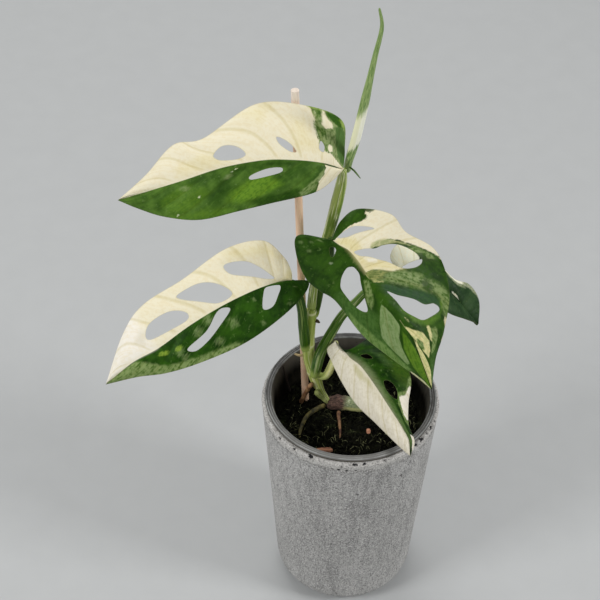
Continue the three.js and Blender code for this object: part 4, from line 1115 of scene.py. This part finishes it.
VEINS, VEIN_LEAN = 9, 0.15  # side veins on each half, and how far they lean towards the tip
RELIEF = dict(top=0.9, left=0.9, right=0.6, low=0.5, rear=0.2)  # rise in mm between side veins
ROWS, COLUMNS, HOLE_POINTS = 150, 44, 14  # of the mesh, and per corner of a hole's outline
EDGE_THICKNESS, THICKNESS, THINNED = 0.34, 0.64, 2.5  # in mm, and how far in the edge is thinned
FURROW, KEEL, FURROW_WIDTH = 0.3, 0.45, 1.1  # the midrib, sunk above and raised below, in mm


def depth_inside(points, outline):
    """How far each point lies inside a closed outline, negative outside it."""
    start = np.array(outline, float)
    end = np.roll(start, -1, axis=0)
    edge = end - start
    offset = points[:, None, :] - start
    share = np.clip((offset * edge).sum(-1) / np.maximum((edge ** 2).sum(-1), 1e-12), 0, 1)
    gap = np.linalg.norm(offset - share[..., None] * edge, axis=-1).min(1)
    x, y = points[:, :1], points[:, 1:]
    spans = (start[:, 1] > y) != (end[:, 1] > y)
    rise = np.where(np.abs(edge[:, 1]) < 1e-12, 1e-12, edge[:, 1])
    crossed = spans & (x < start[:, 0] + (y - start[:, 1]) / rise * edge[:, 0])
    return np.where(crossed.sum(1) % 2 == 1, gap, -gap)


def closed_curve(points, count):
    """Points of a smooth closed curve through the given ones."""
    points = np.array(points, float)
    x = np.linspace(0, len(points), count, endpoint=False)
    i = x.astype(int)
    corners = [points[(i + k) % len(points)] for k in (-1, 0, 1, 2)]
    return span_curve(*corners, (x - i)[:, None])


def blade_points(leaf, along, across):
    """Middle of the blade in its own frame. across is -1 at the left margin, 1 at the right."""
    left, midrib, right = (along_curve([(0, 0, 0), *leaf[line], (leaf["long"], 0, 0)], along)
                           for line in ("left", "midrib", "right"))
    reach = np.abs(across)[:, None]
    margin = np.where(across[:, None] < 0, left, right)
    points = midrib + (margin - midrib) * reach
    points[:, 2] += BLADE_CROWN * 4 * (reach * (1 - reach))[:, 0]
    return points, np.linalg.norm(margin - midrib, axis=1)


def flat_blade(holes, length, half_width):
    """Points and triangles of the blade laid flat, in millimetres, with its holes cut out."""
    along, across = np.meshgrid(np.linspace(0, 1, ROWS + 1), np.linspace(-1, 1, COLUMNS + 1))
    grid = np.stack([along.ravel() * length, across.ravel() * half_width], axis=1)
    for hole in holes:
        grid = grid[depth_inside(grid, hole) < -0.35]
    places, edges = list(grid), []
    for hole in holes:
        first = len(places)
        places += list(hole)
        edges += [(first + i, first + (i + 1) % len(hole)) for i in range(len(hole))]
    places, _, triangles, *_ = delaunay_2d_cdt([Vector(p) for p in places], edges, [], 0, 1e-6)
    places = np.array([tuple(place) for place in places])
    triangles = np.array(triangles)
    middle = places[triangles].mean(axis=1)
    in_hole = np.any([depth_inside(middle, hole) >= 0 for hole in holes], axis=0)
    return places, triangles[~in_hole]


def blade_mesh(name, leaf, patches, relief):
    """A blade with its folds, midrib and thinned edges. Each point keeps its place along and
    across in mm with its side vein, and how far it lies inside the edge and each patch."""
    length = np.linalg.norm(np.array(leaf["tip"], float) - leaf["joint"])
    half_width = length / 4
    flat = lambda shape: np.array(shape, float) / 100 * [length, half_width]
    holes = [closed_curve(flat(hole), HOLE_POINTS * len(hole)) for hole in leaf["holes"]]
    places, triangles = flat_blade(holes, length, half_width)
    along, across = places[:, 0] / length, places[:, 1] / half_width

    # all points at the joint become one, and so do those at the tip
    joint_end, tip_end = along < 1e-6, along > 1 - 1e-6
    same = np.arange(len(places))
    same[joint_end] = np.flatnonzero(joint_end)[0]
    same[tip_end] = np.flatnonzero(tip_end)[0]
    across = np.where(joint_end | tip_end, 0.0, across)
    triangles = same[triangles]
    triangles = triangles[np.all(triangles != np.roll(triangles, 1, axis=1), axis=1)]
    used, triangles = np.unique(triangles, return_inverse=True)
    triangles = triangles.reshape(-1, 3)
    along, across, places = along[used], across[used], places[used]

    surface, width = blade_points(leaf, along, across)
    reach = np.abs(across)
    to_midrib = reach * width
    to_edge = (1 - reach) * width
    local = np.stack([along * length, across * width], axis=1)
    for hole in leaf["holes"]:
        outline = closed_curve(np.array(hole, float) / 100, 10 * len(hole))
        _, hole_width = blade_points(leaf, outline[:, 0], outline[:, 1])
        hole_local = np.stack([outline[:, 0] * length, outline[:, 1] * hole_width], axis=1)
        to_edge = np.minimum(to_edge, np.abs(depth_inside(local, hole_local)))
    vein = (along - VEIN_LEAN * reach) * VEINS
    pillow = np.sin(math.pi * vein) ** 2 - 0.5
    calm = np.clip(to_midrib / 5, 0, 1) * np.clip(to_edge / 5, 0, 1) * np.sin(math.pi * along)
    surface[:, 2] += relief * pillow * calm * np.clip((along - 0.08) / 0.2, 0, 1)
    midrib = np.exp(-(to_midrib / FURROW_WIDTH) ** 2) * np.clip(np.sin(math.pi * along) * 4, 0, 1)
    thick = np.interp(to_edge, [0, THINNED], [EDGE_THICKNESS, THICKNESS])
    upper, lower = surface.copy(), surface.copy()
    upper[:, 2] += thick / 2 - FURROW * midrib
    lower[:, 2] -= thick / 2 + KEEL * midrib

    count = len(places)
    sides = dict.fromkeys(pair for a, b, c in triangles for pair in ((a, b), (b, c), (c, a)))
    rim = [pair for pair in sides if (pair[1], pair[0]) not in sides]
    faces = [tuple(t) for t in triangles] + [tuple(t[::-1] + count) for t in triangles]
    faces += [(b, a, a + count, b + count) for a, b in rim]
    axis = np.array(leaf["tip"], float) - leaf["joint"]
    axis /= np.linalg.norm(axis)
    sideways = np.cross(leaf["face"], axis)
    sideways /= np.linalg.norm(sideways)
    basis = np.stack([axis, sideways, np.cross(axis, sideways)])
    piece = add_mesh(name, (np.vstack([upper, lower]) @ basis + leaf["joint"]) * MM, faces)
    on_both_sides = lambda label, values: store(piece, label, np.concatenate([values, values]))
    on_both_sides("vein", np.stack([along * length, across * width, vein], axis=1))
    on_both_sides("edge", to_edge)
    for number, (*_, outlines) in enumerate(patches):
        depths = [depth_inside(places, flat(outline)) for outline in outlines]
        on_both_sides(f"patch_{number}", np.max(depths, axis=0))
    store(piece, "under", np.repeat([0, 1], count))
    face_outwards(piece)
    bpy.ops.object.shade_smooth_by_angle(angle=math.radians(60))
    return piece


def blade_finish(name, green, patches):
    """Satin blade: green, with ragged patches that fray along the side veins."""
    satin = Finish("variegated_blade_" + name, Specular_IOR_Level=0.12)
    on_blade = satin.attribute("vein", "Vector")
    along, across, vein = (satin.part(on_blade, axis) for axis in range(3))
    with_veins = satin.node("CombineXYZ", {"X": satin.times(vein, 11),
                                           "Y": satin.times(across, 0.22)})
    streaks = satin.noise(with_veins, 1.0, 4.0, 0.6)
    wide_streaks = satin.noise(with_veins, 0.3, 3.0, 0.6)
    mottle = satin.noise(satin.place(), 420.0, 3.0, 0.6)
    clouds = satin.noise(satin.place(), 90.0, 3.0, 0.6)
    dots = satin.noise(satin.place(), 330.0, 2.0, 0.7)
    off_midrib = satin.between(satin.math("ABSOLUTE", across), 0.4, 3.0)
    dark, light = green
    tone = satin.over(dark, light, clouds, 0.35, 0.68)
    tone = satin.over(tone, dark, wide_streaks, 0.42, 0.68, 0.4)
    tone = satin.over(tone, light, streaks, 0.5, 0.72, 0.4)
    tone = satin.over(tone, srgb(118, 146, 82), dots, 0.62, 0.72, 0.35)
    fraying = satin.times(satin.math("SUBTRACT", streaks, 0.5), satin.times(off_midrib, 2.4))
    flecks = satin.between(satin.plus(satin.times(streaks, 0.55), satin.times(mottle, 0.45)),
                           0.44, 0.6)
    for number, (colour, fleck, frayed, soft, share, _) in enumerate(patches):
        depth = satin.plus(satin.attribute(f"patch_{number}"), satin.times(fraying, frayed))
        tone = satin.over(tone, satin.mix(flecks, colour, fleck), depth, -soft, soft, share)
    wave = lambda turn: satin.math("ABSOLUTE", satin.math("SINE", satin.times(vein, turn)))
    vein_line = satin.times(satin.between(wave(math.pi), 0.03, 0.3, 1.0, 0.0), off_midrib)
    tone = satin.mix(satin.times(vein_line, 0.5), tone, srgb(226, 221, 192), blend_type="MULTIPLY")
    edge_line = satin.between(satin.attribute("edge"), 0.1, 0.5, 0.25, 0.0)
    tone = satin.mix(edge_line, tone, srgb(120, 124, 78))
    tone = satin.mix(satin.times(satin.attribute("under"), 0.22), tone, srgb(176, 188, 146))
    fine_vein = satin.times(wave(2 * math.pi), satin.between(along, 15, 40))
    satin.set(Base_Color=tone, Roughness=satin.between(mottle, 0.3, 0.7, 0.38, 0.55),
              Normal=satin.bump(mottle, 0.0001, satin.bump(fine_vein, 0.00012)))
    return satin


for name, leaf in LEAVES.items():
    patches = MARKS[name]["patches"]
    piece = blade_mesh("blade_" + name, leaf, patches, RELIEF[name])
    shown(piece, "blade_" + name, blade_finish(name, MARKS[name]["green"], patches))
    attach(piece, "root")
    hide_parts("leaf_" + name)


# New leaf
# The sixth leaf, still rolled into a spear, stands above the top stalk. A pale cream band runs
# round its lower part, the rolled edge shows as a line along it, and a torn strand of its sheath
# sticks out at its foot.

SPEAR_PATH = [(-8.9, 2.8, 391), (-8.7, 0.8, 400), (-5, -2, 421), (-2, -2, 440), (1, -2, 461),
              (4, -1, 481), (7, 0, 500), (5, 0, 513)]
SPEAR_RADII = [2.2, 2.7, 3, 2.9, 2.7, 2, 1.6, 1.3, 0.7]
rolled = lambda angle, share: 1 + 0.05 * math.cos(angle - 1.9 * share) - 0.06 * math.exp(
    -((math.sin((angle - 2.6 - 1.5 * share) / 2)) / 0.12) ** 2)
spear = stalk_mesh("spear_rolled", SPEAR_PATH, SPEAR_RADII, 36, 0.8, rolled, 1.5)
spear_skin = Finish("rolled_blade", Roughness=0.42, Coat_Weight=0.1, Coat_Roughness=0.3)
on_spear = spear_skin.attribute("stalk", "Vector")
spear_lines = spear_skin.noise(spear_skin.scaled(on_spear, (0.05, 2.4, 2.4)), 3.0, 3.0, 0.6)
spear_side = spear_skin.part(on_spear, 1)
slanted_along = spear_skin.plus(
    spear_skin.plus(spear_skin.part(on_spear, 0), spear_skin.times(spear_lines, 16)),
    spear_skin.times(spear_side, -5))
in_band = spear_skin.times(spear_skin.between(slanted_along, 30, 35),
                           spear_skin.between(slanted_along, 56, 63, 1.0, 0.0))
spear_tone = spear_skin.over(srgb(96, 132, 58), srgb(168, 190, 118), spear_lines, 0.4, 0.62)
band_tone = spear_skin.over(srgb(244, 244, 206), srgb(255, 255, 232), spear_side, -0.15, 0.15)
spear_tone = spear_skin.mix(in_band, spear_tone, band_tone)
spear_skin.set(Base_Color=spear_tone, Normal=spear_skin.bump(spear_lines, 0.0002))
shown(spear, "spear_rolled", spear_skin)
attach(spear, "root")
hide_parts("new_leaf")

strand = stalk_mesh("sheath_strand", [(-8.4, -0.6, 397.5), (-5.6, -4, 397.4), (-3.6, -6, 396.2),
                                      (-1.2, -8, 394.1)], [0.5, 0.6, 0.55, 0.3], 12, 0.5, blunt=0.9)
shown(strand, "sheath_strand", flecked("strand_skin", 0.6, 500.0, srgb(44, 74, 24),
                                       srgb(104, 132, 66), 0.0003))
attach(strand, "root")


# Loose bits
# A chip and a crumb of orange bark, settled a little into the mix, and a dark twig that stands in
# it close to the nursery pot's wall.

CHIP_TURN = 0.1
CHIPS = {"chip": dict(size=(13, 5, 2.8), at=(-19, -33)),
         "crumb": dict(size=(3.2, 4.6, 2.6), at=(13.6, -14))}
bark = Finish("orange_bark", Roughness=0.85)
bark_line = bark.noise(bark.place((60, 500, 300)), 1.0, 4.0, 0.6)
bark.set(Base_Color=bark.over(srgb(116, 70, 50), srgb(204, 146, 114), bark_line, 0.35, 0.65),
         Normal=bark.bump(bark_line, 0.0005))
for name, chip in CHIPS.items():
    bpy.ops.object.select_all(action="DESELECT")
    bpy.ops.mesh.primitive_ico_sphere_add(subdivisions=4, radius=0.5)
    piece = bpy.context.object
    for vertex in piece.data.vertices:
        squared = Vector([math.copysign(abs(c) ** 0.7, c) for c in vertex.co])
        vertex.co = squared * (1 + 0.18 * noise.noise(squared * 6))
    spans = zip(*(vertex.co for vertex in piece.data.vertices))
    piece.scale = [s * MM / (max(span) - min(span)) for s, span in zip(chip["size"], spans)]
    piece.rotation_euler.z = CHIP_TURN
    piece.location = Vector((*chip["at"], MIX_TOP - 0.8 + chip["size"][2] / 2)) * MM
    bpy.ops.object.transform_apply(location=True, rotation=True, scale=True)
    bpy.ops.object.shade_smooth_by_angle(angle=math.radians(30))
    shown(piece, "bark_" + name + "_split", bark)
    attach(piece, "root")
    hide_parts("bark_" + name)

knobbly = lambda angle, share: 1 + 0.2 * math.sin(17 * share) * math.cos(angle)
twig = stalk_mesh("twig_dark", [(-44, 24, 162.4), (-47, 25, 176), (-49.5, 24, 190)],
                  [0.9, 0.8, 0.6], 12, 0.6, knobbly)
shown(twig, "twig_dark", flecked("dark_bark", 0.9, 600.0, srgb(20, 16, 14), srgb(56, 46, 38),
                                 0.0006))
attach(twig, "root")
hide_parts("twig")
